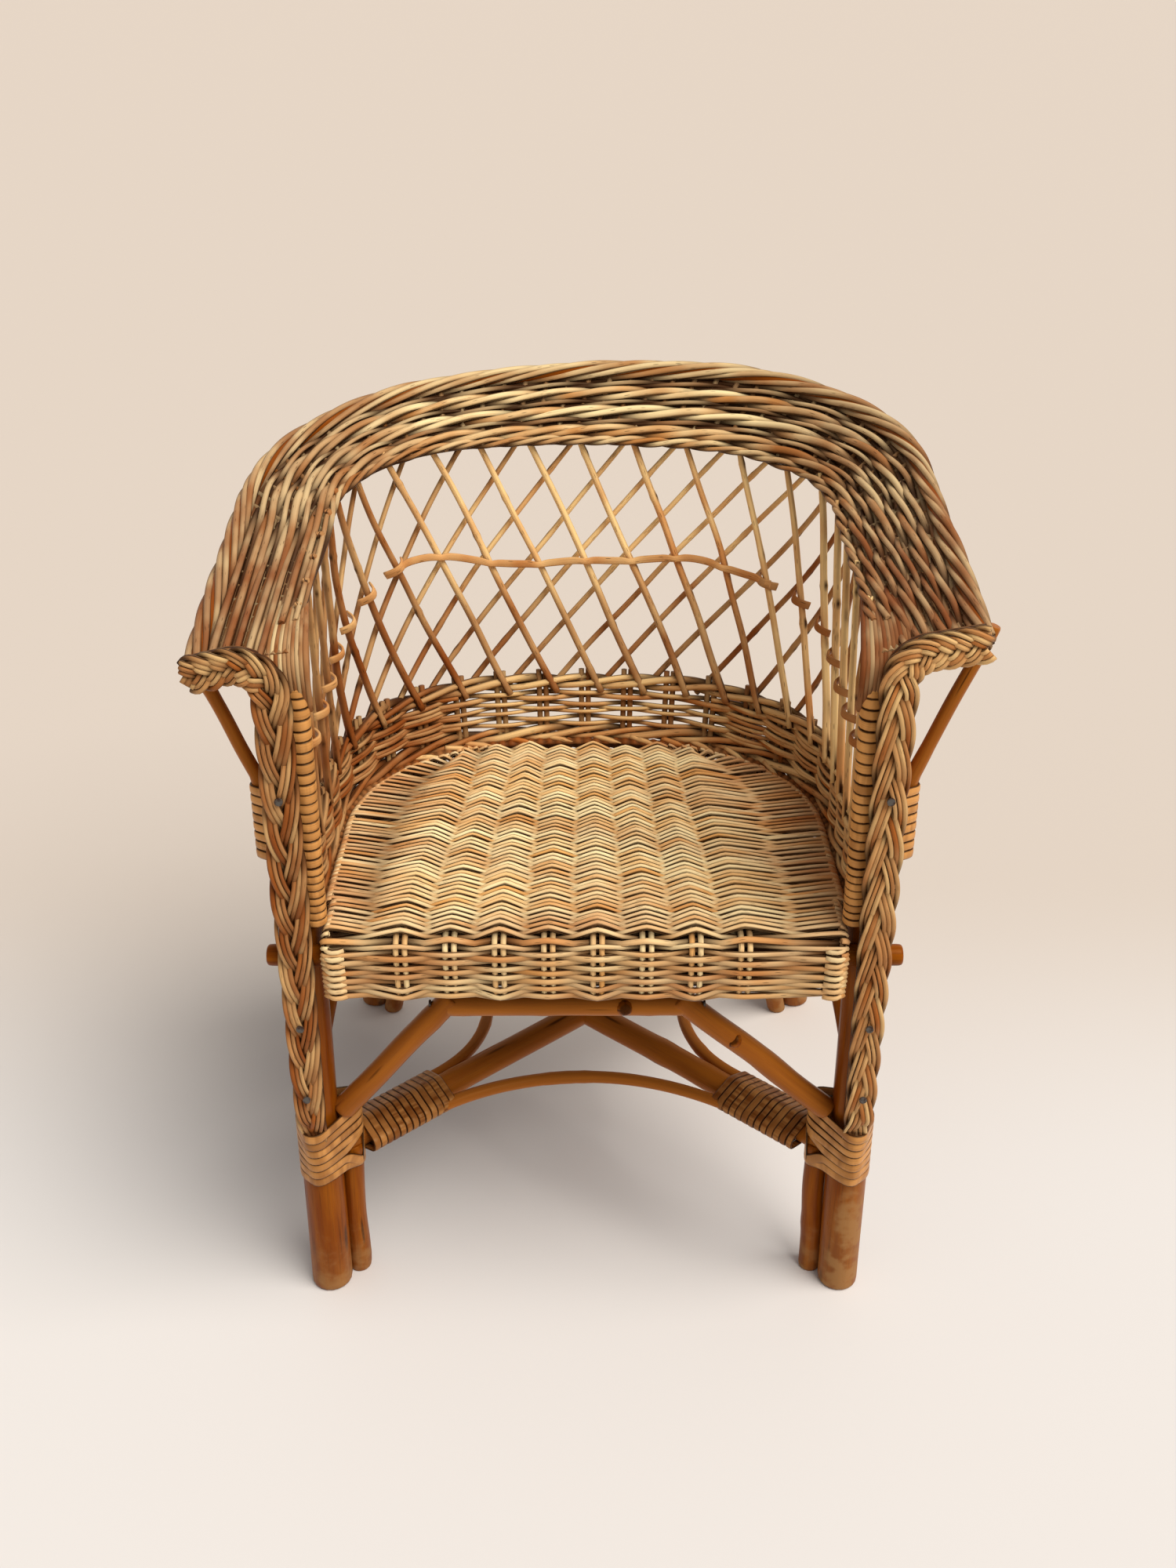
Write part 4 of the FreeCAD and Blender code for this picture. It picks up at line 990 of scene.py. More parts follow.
class ARMCHAIR_OT_seat(Operator):
    """Weave the seat and its folded front"""

    bl_idname = "armchair.seat"
    bl_label = "Seat"

    def execute(self, context):
        rods = context.scene.armchair_rods
        bundle = Bundle(seed=11)
        pitch = rods.apron_pitch
        top = np.arange(ROW_MARGIN, SEAT_TOP_RUN - ROW_MARGIN, rods.seat_pitch)
        apron = np.arange(top[-1] + pitch, SEAT_RUN - FOOT_ROWS, pitch)
        foot = np.arange(apron[-1] + FOOT_STEPS[0] * pitch, SEAT_RUN, FOOT_STEPS[1] * pitch)
        seat_rows(bundle, np.concatenate([top, apron, foot]), rods.seat_wave, rods.seat_rod)
        self.stakes(bundle)
        self.lining(bundle)
        self.loops(bundle)
        bundle.build("seat_weave", willow("seat"), "willow_seat", "woven_seat")
        return {"FINISHED"}

    def stakes(self, bundle):
        """Pairs of stakes that follow the seat's profile, closer together towards the back."""
        run = np.linspace(0, SEAT_RUN - STAKE_MARGIN, STAKE_RINGS)
        depth, height, normal = seat_profile(run)
        start = STAKE_START + STAKE_STEP * np.arange(STAKE_COUNT)
        pairs = np.concatenate([start - STAKE_PAIR, start + STAKE_PAIR])
        paths = place(pairs[:, None] * stake_spread(depth), depth, height)
        # Painted shade: the stakes are dark under the top's rows and lighter on the folded front.
        grime = 0.75 - 0.6 * past_edge(run, *STAKE_SHADE_END)
        bundle.add(paths, normal, SEAT_STAKE, grime=grime, age=0.2)

    def lining(self, bundle):
        """Straight dark rods under the seat and behind its folded front: their darkness is painted
        shade.
        """
        runs = np.arange(LINING_MARGINS[0], SEAT_RUN - LINING_MARGINS[1], LINING_PITCH)
        depth, height, normal = (part[:, None] for part in seat_profile(runs))
        x = (seat_half_width(depth) - LINING_INSET) * np.linspace(-1, 1, LINING_RINGS)
        paths = place(x, depth, height) - normal * LINING_LEVEL
        bundle.add(paths, normal, LINING_ROD, grime=0.9, age=1.0)

    def loops(self, bundle):
        """Turns round the end stakes of the folded front: two straight runs and a half circle."""
        rng = bundle.rng
        low, high = APRON_BOTTOM + LOOP_MARGIN, SEAT_FRONT_LEVEL - LOOP_MARGIN
        heights = np.arange(low, high, LOOP_PITCH)[:, None]
        turn = np.linspace(-math.pi / 2, math.pi / 2, 9)
        out = np.concatenate([LOOP_TAIL, END_LOOP * np.cos(turn), LOOP_TAIL[::-1]])
        depth = END_LOOP * np.concatenate([-TAIL_DEPTH, np.sin(turn), TAIL_DEPTH[::-1]])
        tilt = (rng.random(heights.shape) - 0.3) * 0.16
        fold = LOOP_SETBACK * smooth(SEAT_FRONT_LEVEL - FOLD, SEAT_FRONT_LEVEL, heights)
        depth = APRON_DEPTH + LOOP_FRONT + depth + fold
        for side in (-1, 1):
            paths = place(side * (APRON_HALF - LOOP_INSET + out), depth, heights + tilt * out)
            tone = 0.1 + 0.4 * rng.random(heights.shape)
            stake = place(side * (APRON_HALF - LOOP_STAKE), APRON_DEPTH, 0)
            outward = unit((paths - stake) * [1, 1, 0])
            bundle.add(paths, outward, LOOP_ROD, grime=0.3, age=0.35, tone=tone)


# ---------------------------------------------------------------- band and lattice

BAND_STAKE_STEP = 30 * MM
BAND_STAKE = 2.2 * MM
BAND_STAKE_PAIR = 2.4 * MM
BAND_WAVE = 3.4 * MM
BAND_PITCH = 3.5 * MM
BAND_RINGS = 260
BAND_DRIFT = 0.012
BAND_SPREAD = 0.1
# Lowest and highest rows: all round, the extra ones at the sides, and the backing. The last
# two begin at a share of the half length.
BAND_ROWS = (310.5 * MM, 332.5 * MM)
SIDE_ROWS = (308.5 * MM, 334 * MM)
SIDE_START = 0.28
SIDE_RINGS = 90
SIDE_STOUT = 1.05
BACKING_ROWS = (309 * MM, 336 * MM)
BACKING_START = 0.42
BACKING_RINGS = 60
BACKING_BEHIND = 3.2 * MM
BACKING_ROD = 2.0 * MM
BACKING_PITCH = 4.4 * MM
# The hoop at the band's foot: its radius and the binding's bumps in millimetres, its place.
FOOT_HOOP = 4.2
HOOP_BUMP = 0.5
HOOP_RINGS = 400
HOOP_HEIGHT = 295 * MM
HOOP_FRONT = 3 * MM
HOOP_BINDING = 7 * MM
WALE_RINGS = 320
WALE_LIFT = 3.0 * MM
WALE_SWING = 3.3 * MM
# Height of each wale in millimetres, its share of the wale rod, and the length of a turn.
WALES = ((302.5, 1.0, 104), (339.5, 1.08, 112))
# Cut rod ends: their span along the band, their place, the shortest and the longest, and where
# the cut begins on them.
ROD_ENDS = 11
ROD_END_SPAN = (-0.4, 0.42)
ROD_END_HEIGHT = 300 * MM
ROD_END_FRONT = 2.5 * MM
ROD_END_LENGTHS = (17 * MM, 21 * MM)
ROD_END_RADIUS = 2.3 * MM
ROD_END_CUT = 0.62


def band_across(height):
    """Share across the band's sheet at a height."""
    return (height - BAND_BOTTOM) / (BAND_TOP - BAND_BOTTOM)


def shell_age(points):
    """Age of the shell: lighter at the back, browner at the sides, and less brown on the right,
    which is painted light against the shade on the right inner wall.
    """
    aside = np.abs(points[..., 0]) + 0.25 * np.maximum(0.05 - points[..., 1], 0)
    # Painted light: the right side is kept paler, against the shadow that falls on it.
    shade = 1 - 0.6 * smooth(0.05, 0.12, points[..., 0])
    return (0.18 + 0.82 * smooth(0.03, 0.13, aside)) * shade


class ARMCHAIR_OT_band(Operator):
    """Weave the band round the seat"""

    bl_idname = "armchair.band"
    bl_label = "Band"

    def execute(self, context):
        rods = context.scene.armchair_rods
        bundle = Bundle(seed=23)
        heights = np.arange(*BAND_ROWS, BAND_PITCH)
        self.rows(bundle, heights, -1, 1, BAND_RINGS, rods.band_rod)
        heights = np.arange(*SIDE_ROWS, BAND_PITCH)
        for first, last in ((-1, -SIDE_START), (SIDE_START, 1)):
            self.rows(bundle, heights, first, last, SIDE_RINGS, SIDE_STOUT * rods.band_rod)
        for height, rod, period in WALES:
            level = band_across(height * MM)
            age = shell_age(band_sheet.point(np.linspace(-1, 1, WALE_RINGS), level))
            twist(
                bundle, band_sheet, level, 3, rod * rods.wale_rod, WALE_LIFT, WALE_SWING,
                period * MM, WALE_RINGS, age=age,
            )
        self.backing(bundle)
        self.stakes(bundle)
        self.ends(bundle)
        bundle.build("band_weave", willow("shell"), "willow_shell", "seat_band")
        return {"FINISHED"}

    def rows(self, bundle, heights, first, last, rings, rod):
        """Rows in and out of the stakes by the cosine, turned over from row to row."""
        rng = bundle.rng
        count = len(heights)
        along = np.linspace(first, last, rings)
        across = band_across(heights)[:, None] + drift(rng, count, rings, BAND_DRIFT, 8)
        column = along * band_sheet.half / BAND_STAKE_STEP + np.arange(count)[:, None]
        over = np.cos(math.pi * column)
        normal = band_sheet.normal(along, across)
        paths = band_sheet.point(along, across) + normal * (BAND_WAVE * over)[..., None]
        thick = rod * (1 + BAND_SPREAD * rng.normal(size=(count, 1)))
        # Painted shade: a row is darker where it passes outside the stakes, on the far side from
        # the seat.
        bundle.add(paths, normal, thick, grime=0.36 - 0.42 * over, age=shell_age(paths))

    def backing(self, bundle):
        """Straight rows outside the woven ones, along both sides."""
        across = band_across(np.arange(*BACKING_ROWS, BACKING_PITCH))[:, None]
        for side in (-1, 1):
            along = side * np.linspace(BACKING_START, 1, BACKING_RINGS)
            normal = band_sheet.normal(along, across)
            paths = band_sheet.point(along, across) - normal * BACKING_BEHIND
            # Painted shade: the rows outside the woven ones are coloured darker.
            bundle.add(paths, normal, BACKING_ROD, grime=0.5, age=0.8)

    def stakes(self, bundle):
        """Upright pairs of stakes inside the band, and the bound hoop at its foot."""
        half = int(band_sheet.half / BAND_STAKE_STEP)
        place_along = np.arange(-half, half + 1) * BAND_STAKE_STEP / band_sheet.half
        pair = BAND_STAKE_PAIR / band_sheet.half
        along = np.concatenate([place_along - pair, place_along + pair])[:, None]
        across = np.linspace(-0.02, 1.02, 8)
        paths = band_sheet.point(along, across)
        # Painted shade: the stakes inside the band are coloured darker.
        bundle.add(paths, band_sheet.normal(along, across), BAND_STAKE, grime=0.55, age=0.7)
        along, across = np.linspace(-1, 1, HOOP_RINGS)[None], band_across(HOOP_HEIGHT)
        paths = band_sheet.point(along, across) + band_sheet.normal(along, across) * HOOP_FRONT
        turns = np.sin(along * band_sheet.half / HOOP_BINDING * TAU)
        thick = (FOOT_HOOP + HOOP_BUMP * turns) * MM
        # Painted shade: the hoop darkens between the turns of its binding.
        bundle.add(paths, UP, thick, grime=0.55 - 0.15 * turns, age=1.0, tone=1.0)

    def ends(self, bundle):
        """Cut rod ends that stand out of the lower wale at the back, sharpened to a point."""
        rng = bundle.rng
        count = ROD_ENDS
        along = np.linspace(*ROD_END_SPAN, count) + 0.02 * rng.normal(size=count)
        across = band_across(ROD_END_HEIGHT)
        normal = band_sheet.normal(along, across)
        root = band_sheet.point(along, across)
        ahead = unit(band_sheet.point(along + 0.01, across) - root)
        way = unit(ahead + normal * 0.32 - 0.2 * UP)
        share = np.linspace(0, 1, 7)
        reach = share[None, :, None] * between(*ROD_END_LENGTHS, rng.random((count, 1, 1)))
        paths = (root + normal * ROD_END_FRONT)[:, None] + way[:, None] * reach
        thick = ROD_END_RADIUS * (1 - 0.85 * smooth(ROD_END_CUT, 1.0, share))
        bundle.add(paths, normal[:, None], thick, grime=0.1, age=0.15)


def lattice_paths(offset, lean, shift, rises):
    """Rods of one layer, and their shares of the half length.

    At each share of the height a rod is at its own share of the outline's half length,
    carried sideways by the lean, which fades with the square of the share.
    """
    low, high = BAND_HIGH.moved(offset), LATTICE_HIGH.moved(offset)
    middle_half = low.mixed(high, 0.5).half_length(LATTICE_FRONT)
    step = LATTICE_SPACING / middle_half
    count = int((1 - abs(shift) / middle_half) / step)
    share = np.arange(-count, count + 1) * step + shift / middle_half
    leaning = lean * (1 - share**2)
    levels = [low.mixed(high, rise) for rise in rises]
    rings = [
        level.at(share * level.half_length(LATTICE_FRONT) + leaning * (0.5 - rise))
        for level, rise in zip(levels, rises)
    ]
    return share, np.stack(rings, axis=1)


LATTICE_RINGS = 46
LATTICE_BEND = 0.7 * MM
# Shares of the height where the rods begin and end, and the length of a knot on them.
LATTICE_RISES = (-0.09, 1.07)
KNOT_LENGTH = 0.012
KNOT_SWELL = 0.2
OUTER_SHARE = 0.84
STRIP_REACH = 0.4
STRIP_RINGS = 260
STRIP_THICKNESS = 0.9 * MM
# The strip between the rods and on a rod: its place in front of them, and half its width.
STRIP_FRONT = (3.4 * MM, 4.5 * MM)
STRIP_HALF = (2.6 * MM, 2.1 * MM)
STRIP_WANDER = 1.1 * MM
STRIP_DIP = 0.8 * MM
CROSSING_LENGTH = 4.5 * MM
# The bands over the side rods bend back from their middle and lean to one side.
HOOK_HALF = 2.9 * MM
HOOK_REACH = 7.5 * MM
HOOK_RINGS = 13
HOOK_FRONT = 5.0 * MM
HOOK_BEND = 7.5 * MM
HOOK_LEAN = 1.5 * MM


def strip_rise(along):
    """Share of the height of the flat strip: lower at the sides, raised in two smooth humps."""
    rises = 0.5 - 0.08 * smooth(0.45, 0.8, np.abs(along))
    rises = rises + 0.085 * np.exp(-(((along + 0.35) / 0.12) ** 2))
    return rises + 0.04 * np.exp(-(((along - 0.2) / 0.1) ** 2))


class ARMCHAIR_OT_lattice(Operator):
    """Bend the crossing rods of the lattice and lay its flat strip"""

    bl_idname = "armchair.lattice"
    bl_label = "Lattice"

    def execute(self, context):
        rod = context.scene.armchair_rods.lattice_rod
        self.layer("inner", 31, -LATTICE_LAYER, INNER_LEAN, 0.0, rod)
        self.layer("outer", 37, LATTICE_LAYER, -OUTER_LEAN, OUTER_SHIFT, OUTER_SHARE * rod)
        self.strip()
        return {"FINISHED"}

    def layer(self, name, seed, offset, lean, shift, rod):
        """One layer of rods with knots: brown low down and at the sides, pale at the top."""
        bundle = Bundle(seed)
        rng = bundle.rng
        rises = np.linspace(*LATTICE_RISES, LATTICE_RINGS)
        share, paths = lattice_paths(offset, lean, shift, rises)
        count, rings = paths.shape[:2]
        normal = unit((SHELL_MIDDLE - paths[:, [rings // 2]]) * [1, 1, 0])
        bends = drift(rng, count, rings, LATTICE_BEND, 3)
        paths = paths + np.cross(normal, UP) * bends[..., None]
        knots = rng.random((count, 1, 2))
        bumps = np.exp(-(((rises[None, :, None] - knots) / KNOT_LENGTH) ** 2)).sum(axis=-1)
        taper = 1.08 - 0.16 * rises + 0.12 * (rng.random((count, 1)) - 0.5)
        low_part = 1 - smooth(0.18, 0.62, rises)
        left, right = smooth(-0.24, -0.42, share), smooth(0.24, 0.45, share)
        aside = 0.75 * left + (0.95 if name == "outer" else 0.1) * right
        age = np.clip(0.85 * low_part * (1 - right[:, None]) + aside[:, None], 0, 1)
        # Painted shade at the rods' lower ends, in the band, and upper ends, under the rim; the
        # knots are darker too.
        ends = 0.6 * smooth(0.06, -0.04, rises), 0.5 * smooth(0.95, 1.03, rises)
        grime = -0.25 + ends[0] + ends[1] + 0.5 * bumps
        tone = 0.08 + 0.5 * rng.random((count, 1)) ** 2
        thick = rod * (taper + KNOT_SWELL * bumps)
        bundle.add(paths, normal, thick, sides=8, age=age, grime=grime, tone=tone)
        bundle.build("lattice_" + name, willow("shell"), "willow_shell", "lattice_rods_" + name)

    def strip(self):
        """Flat strip in front of the lattice; at the sides only its bands over the rods."""
        bundle = Bundle(seed=41)
        low, high = BAND_HIGH.moved(-LATTICE_LAYER), LATTICE_HIGH.moved(-LATTICE_LAYER)
        sheet = Sheet(low, high, LATTICE_FRONT)
        share = lattice_paths(-LATTICE_LAYER, INNER_LEAN, 0.0, [0.5])[0]
        lean = INNER_LEAN * (1 - share**2)
        crossings = share + lean * (0.5 - strip_rise(share)) / sheet.half
        along = np.linspace(-STRIP_REACH, STRIP_REACH, STRIP_RINGS)[None]
        near = np.abs(along[..., None] - crossings).min(axis=-1) * sheet.half
        lump = np.exp(-((near / CROSSING_LENGTH) ** 2))
        front, half = between(*STRIP_FRONT, lump), between(*STRIP_HALF, lump)
        sag = drift(bundle.rng, 1, STRIP_RINGS, STRIP_WANDER, 6) - STRIP_DIP * lump
        self.ribbon(bundle, sheet, along, front, sag, half, 0.3 * (1 - lump))
        away = np.abs(crossings)
        aside = crossings[(away > STRIP_REACH - 0.02) & (away < 0.97)][:, None]
        bend = np.linspace(-1, 1, HOOK_RINGS)
        along = aside + bend * HOOK_REACH / sheet.half
        front, sag = HOOK_FRONT - HOOK_BEND * bend**2, -HOOK_LEAN * np.sign(aside) * bend
        age = np.where(aside > 0, 0.75, 0.1)
        self.ribbon(bundle, sheet, along, front, sag, HOOK_HALF, age)
        bundle.build("lattice_strip", willow("shell"), "cane_binding", "waist_strip")

    def ribbon(self, bundle, sheet, along, front, sag, width, age):
        """Flat strips along the sheet, in front of it and sagging by the given lengths."""
        rises = strip_rise(along)
        normal = sheet.normal(along, rises)
        front, sag = (np.broadcast_to(part, along.shape)[..., None] for part in (front, sag))
        paths = sheet.point(along, rises) + normal * front + UP * sag
        bundle.add(
            paths, normal, width, STRIP_THICKNESS, sides=10, square=0.6,
            grime=-0.4, age=age, tone=0.7,
        )


# ---------------------------------------------------------------- rim, border and plaits

RIM_RINGS = 460
# Twisted rows of the rim, first the one at its inner edge: place across, lift and swing, length
# of a turn, reach along the rim, and thickness as a share of the rim rod.
EDGE_ACROSS = 0.02
EDGE_TWIST = (2.0 * MM, 1.8 * MM)
EDGE_TURN = 66 * MM
EDGE_REACH = 0.91
EDGE_SHARE = 0.68
RIM_WALES = 3
RIM_WALE_START = 0.15
RIM_WALE_STEP = 0.26
RIM_WALE_TWIST = (3.0 * MM, 2.6 * MM)
RIM_WALE_TURN = 116 * MM
RIM_WALE_SHORTER = 6 * MM
RIM_WALE_REACHES = (0.92, 1.0, 1.0)
# The thin row behind each thick one: lift and swing where the rim is new and where it is old.
THIN_STEP = 0.13
THIN_TURN = 92 * MM
THIN_LIFTS = (1.8 * MM, 2.7 * MM)
THIN_SWINGS = (1.3 * MM, 2.2 * MM)
# Thickness of the rows in shares of the rim rod, at the back and on the arms.
THICK_SHARES = (1.0, 0.8)
THIN_SHARES = (0.62, 0.78)
# On the left arm the rows twist less: by how much, and where along the rim.
CALMER = 0.85
CALMER_SPAN = (-0.55, -0.74)
BORDER_RINGS = 620
BORDER_STRANDS = 6
BORDER_TURN = 156 * MM
BORDER_REACH = 4.6 * MM
UNDER_ROWS = 15
UNDER_RINGS = 160
UNDER_ROD = 2.1 * MM
UNDER_REACH = 0.985
UNDER_ACROSS = (0.04, 0.95)
# How far the dark rods lie below the sheet, at the back and on the arms.
UNDER_BELOW = (2.8 * MM, 1.5 * MM)
SPOKES = 62
SPOKE_ROD = 2.0 * MM
SPOKE_REACH = 0.97
SPOKE_LEAN = 0.03
SPOKE_RINGS = 8
SPOKE_BELOW = 1.5 * MM
# Rods over an arm's front: shares along and across where they leave the rim and where they go
# over its end, how far they drop, rise and bend forward, and the places of their lower ends.
CORNER_RODS = 13
CORNER_ROD = 1.85 * MM
CORNER_RINGS = 22
CORNER_START = 0.82
CORNER_ROWS = (0.02, 0.36)
CORNER_OVER = (-0.2, 0.36)
CORNER_DROP = 3 * MM
CORNER_RISE = 5 * MM
CORNER_FRONT = 7 * MM
CORNER_FEET = (147 * MM, 170 * MM)
CORNER_FOOT_DEPTH = -11 * MM
CORNER_FOOT_HEIGHT = 445 * MM
PLAIT_STRANDS = 5
PLAIT_BEND = 18 * MM
PLAIT_STEP = 1.7 * MM
PLAIT_OUT = 2 * MM
PLAIT_RISE = 1 * MM
PLAIT_TAIL = 7 * MM
# Lengths along a plait: where the arm ends, where it narrows, and where its foot begins.
PLAIT_ARM = (38 * MM, 80 * MM)
PLAIT_NARROWING = (180 * MM, 340 * MM)
PLAIT_FOOT_RUN = (26 * MM, 4 * MM)
# Millimetres: half the width, what it loses down the post and at the foot, and the depth.
PLAIT_HALF = (6.7, 1.3, 1.2)
PLAIT_DEEP = (3.3, 1.8)
PLAIT_LEAN = 6.5 * MM
# The core behind the strands, a dark strip of painted shade, and the stout rods behind it,
# which come nearer at the foot.
CORE_BEHIND = 1.5 * MM
CORE_WIDER = 1 * MM
CORE_THICKNESS = 1.2 * MM
BACK_ROD = 3.4 * MM
BACK_SPACING = 5.2 * MM
BACK_BEHIND = (6.2 * MM, 2.2 * MM)
# Three rods lie side by side in a strand, this many radii apart.
TRIPLE = np.array([-1.0, 0.0, 1.0])[:, None, None]
STRAND_SPACING = 1.9
STRAND_DRIFT = 0.2 * MM
STRAND_SPREAD = 0.1
# Length of a strand's way there and back, in millimetres, on the post and on the arm.
PLAIT_TURNS = (124, 42)
# Age on the arm and on the post, and painted shade on the arm, by side.
PLAIT_SHADES = {-1: (0.5, 0.72, 0.14), 1: (0.18, 0.42, 0.0)}


class ARMCHAIR_OT_rim(Operator):
    """Weave the broad rim and wind its rope border"""

    bl_idname = "armchair.rim"
    bl_label = "Rim"

    def execute(self, context):
        rods = context.scene.armchair_rods
        bundle = Bundle(seed=53)
        along = np.linspace(-1, 1, RIM_RINGS)
        middle = rim_sheet.point(along, 0.5)
        age, on_arm = arm_age(middle), arm_part(middle)
        speed = 1 - CALMER * smooth(*CALMER_SPAN, along)
        thick = rods.rim_rod * between(*THICK_SHARES, on_arm)
        thin = rods.rim_rod * between(*THIN_SHARES, on_arm)
        twist(
            bundle, rim_sheet, EDGE_ACROSS, 3, EDGE_SHARE * rods.rim_rod, *EDGE_TWIST,
            EDGE_TURN / speed, RIM_RINGS, EDGE_REACH, age=0.25 + 0.6 * age,
        )
        for number in range(RIM_WALES):
            across = RIM_WALE_START + RIM_WALE_STEP * number
            period = (RIM_WALE_TURN - RIM_WALE_SHORTER * number) / speed
            twist(
                bundle, rim_sheet, across, 3, thick, *RIM_WALE_TWIST, period, RIM_RINGS,
                RIM_WALE_REACHES[number], age=0.04 + 0.96 * age,
            )
            # Painted shade: the thin rows are darker, most of all at the back of the rim.
            lift, swing = between(*THIN_LIFTS, age), between(*THIN_SWINGS, age)
            twist(
                bundle, rim_sheet, across + THIN_STEP, 2, thin, lift, swing,
                THIN_TURN / speed, RIM_RINGS, age=np.maximum(age, 0.65), grime=0.45 - 0.4 * age,
            )
        self.under(bundle)
        self.corners(bundle)
        bundle.build("rim_weave", willow("rim"), "willow_rim", "woven_rim")
        rope = Bundle(seed=59)
        edge = rim_sheet.point(np.linspace(-1, 1, BORDER_RINGS), 1.0)
        twist(
            rope, rim_sheet, 1.0, BORDER_STRANDS, rods.border_rod, BORDER_REACH, BORDER_REACH,
            BORDER_TURN, BORDER_RINGS, age=0.42 + 0.5 * arm_age(edge), grime=0.03,
        )
        rope.build("border_rope", willow("rim"), "willow_rim", "rim_border")
        return {"FINISHED"}

    def under(self, bundle):
        """Rods under the rows, dark as painted shade below them, and spokes that run across the rim
        below them, painted darker too.
        """
        along = np.linspace(-UNDER_REACH, UNDER_REACH, UNDER_RINGS)
        across = np.linspace(*UNDER_ACROSS, UNDER_ROWS)[:, None]
        normal = rim_sheet.normal(along, across)
        level = rim_sheet.point(along, across)
        on_arm = arm_part(level)
        paths = level - normal * between(*UNDER_BELOW, on_arm)[..., None]
        bundle.add(paths, normal, UNDER_ROD, grime=0.85 - 0.42 * on_arm, age=0.85)
        across = np.linspace(0, 1, SPOKE_RINGS)
        along = np.linspace(-SPOKE_REACH, SPOKE_REACH, SPOKES)[:, None] + SPOKE_LEAN * across
        normal = rim_sheet.normal(along, across)
        paths = rim_sheet.point(along, across) - normal * SPOKE_BELOW
        bundle.add(paths, normal, SPOKE_ROD, grime=0.6, age=0.6)

    def corners(self, bundle):
        """Row ends that bend over the arm's front and down beside the post, as cubic curves."""
        count = CORNER_RODS
        share = np.linspace(0, 1, CORNER_RINGS)[None, :, None]
        rest = 1 - share
        weights = (rest**3, 3 * share * rest**2, 3 * share**2 * rest, share**3)
        rows, over_rows = np.linspace(*CORNER_ROWS, count), np.linspace(*CORNER_OVER, count)
        for side in (-1, 1):
            start = rim_sheet.point(side * CORNER_START, rows) - UP * CORNER_DROP
            over = rim_sheet.point(side, over_rows) + UP * CORNER_RISE
            front = over - BACKWARDS * CORNER_FRONT - UP * CORNER_DROP
            x = side * np.linspace(*CORNER_FEET, count)
            foot = place(x, CORNER_FOOT_DEPTH, CORNER_FOOT_HEIGHT)
            spots = (start, over, front, foot)
            paths = sum(weight * spot[:, None] for weight, spot in zip(weights, spots))
            tone = bundle.rng.random((count, 1))
            facing = np.array([-0.5 * side, -0.9, 1.0])
            # The right-hand rods are browner and carry more painted shade than the left ones.
            shade = 0.6 if side < 0 else 0.85
            age = shade + 0.35 * tone
            bundle.add(paths, facing, CORNER_ROD, grime=shade - 0.45, age=age, tone=tone)


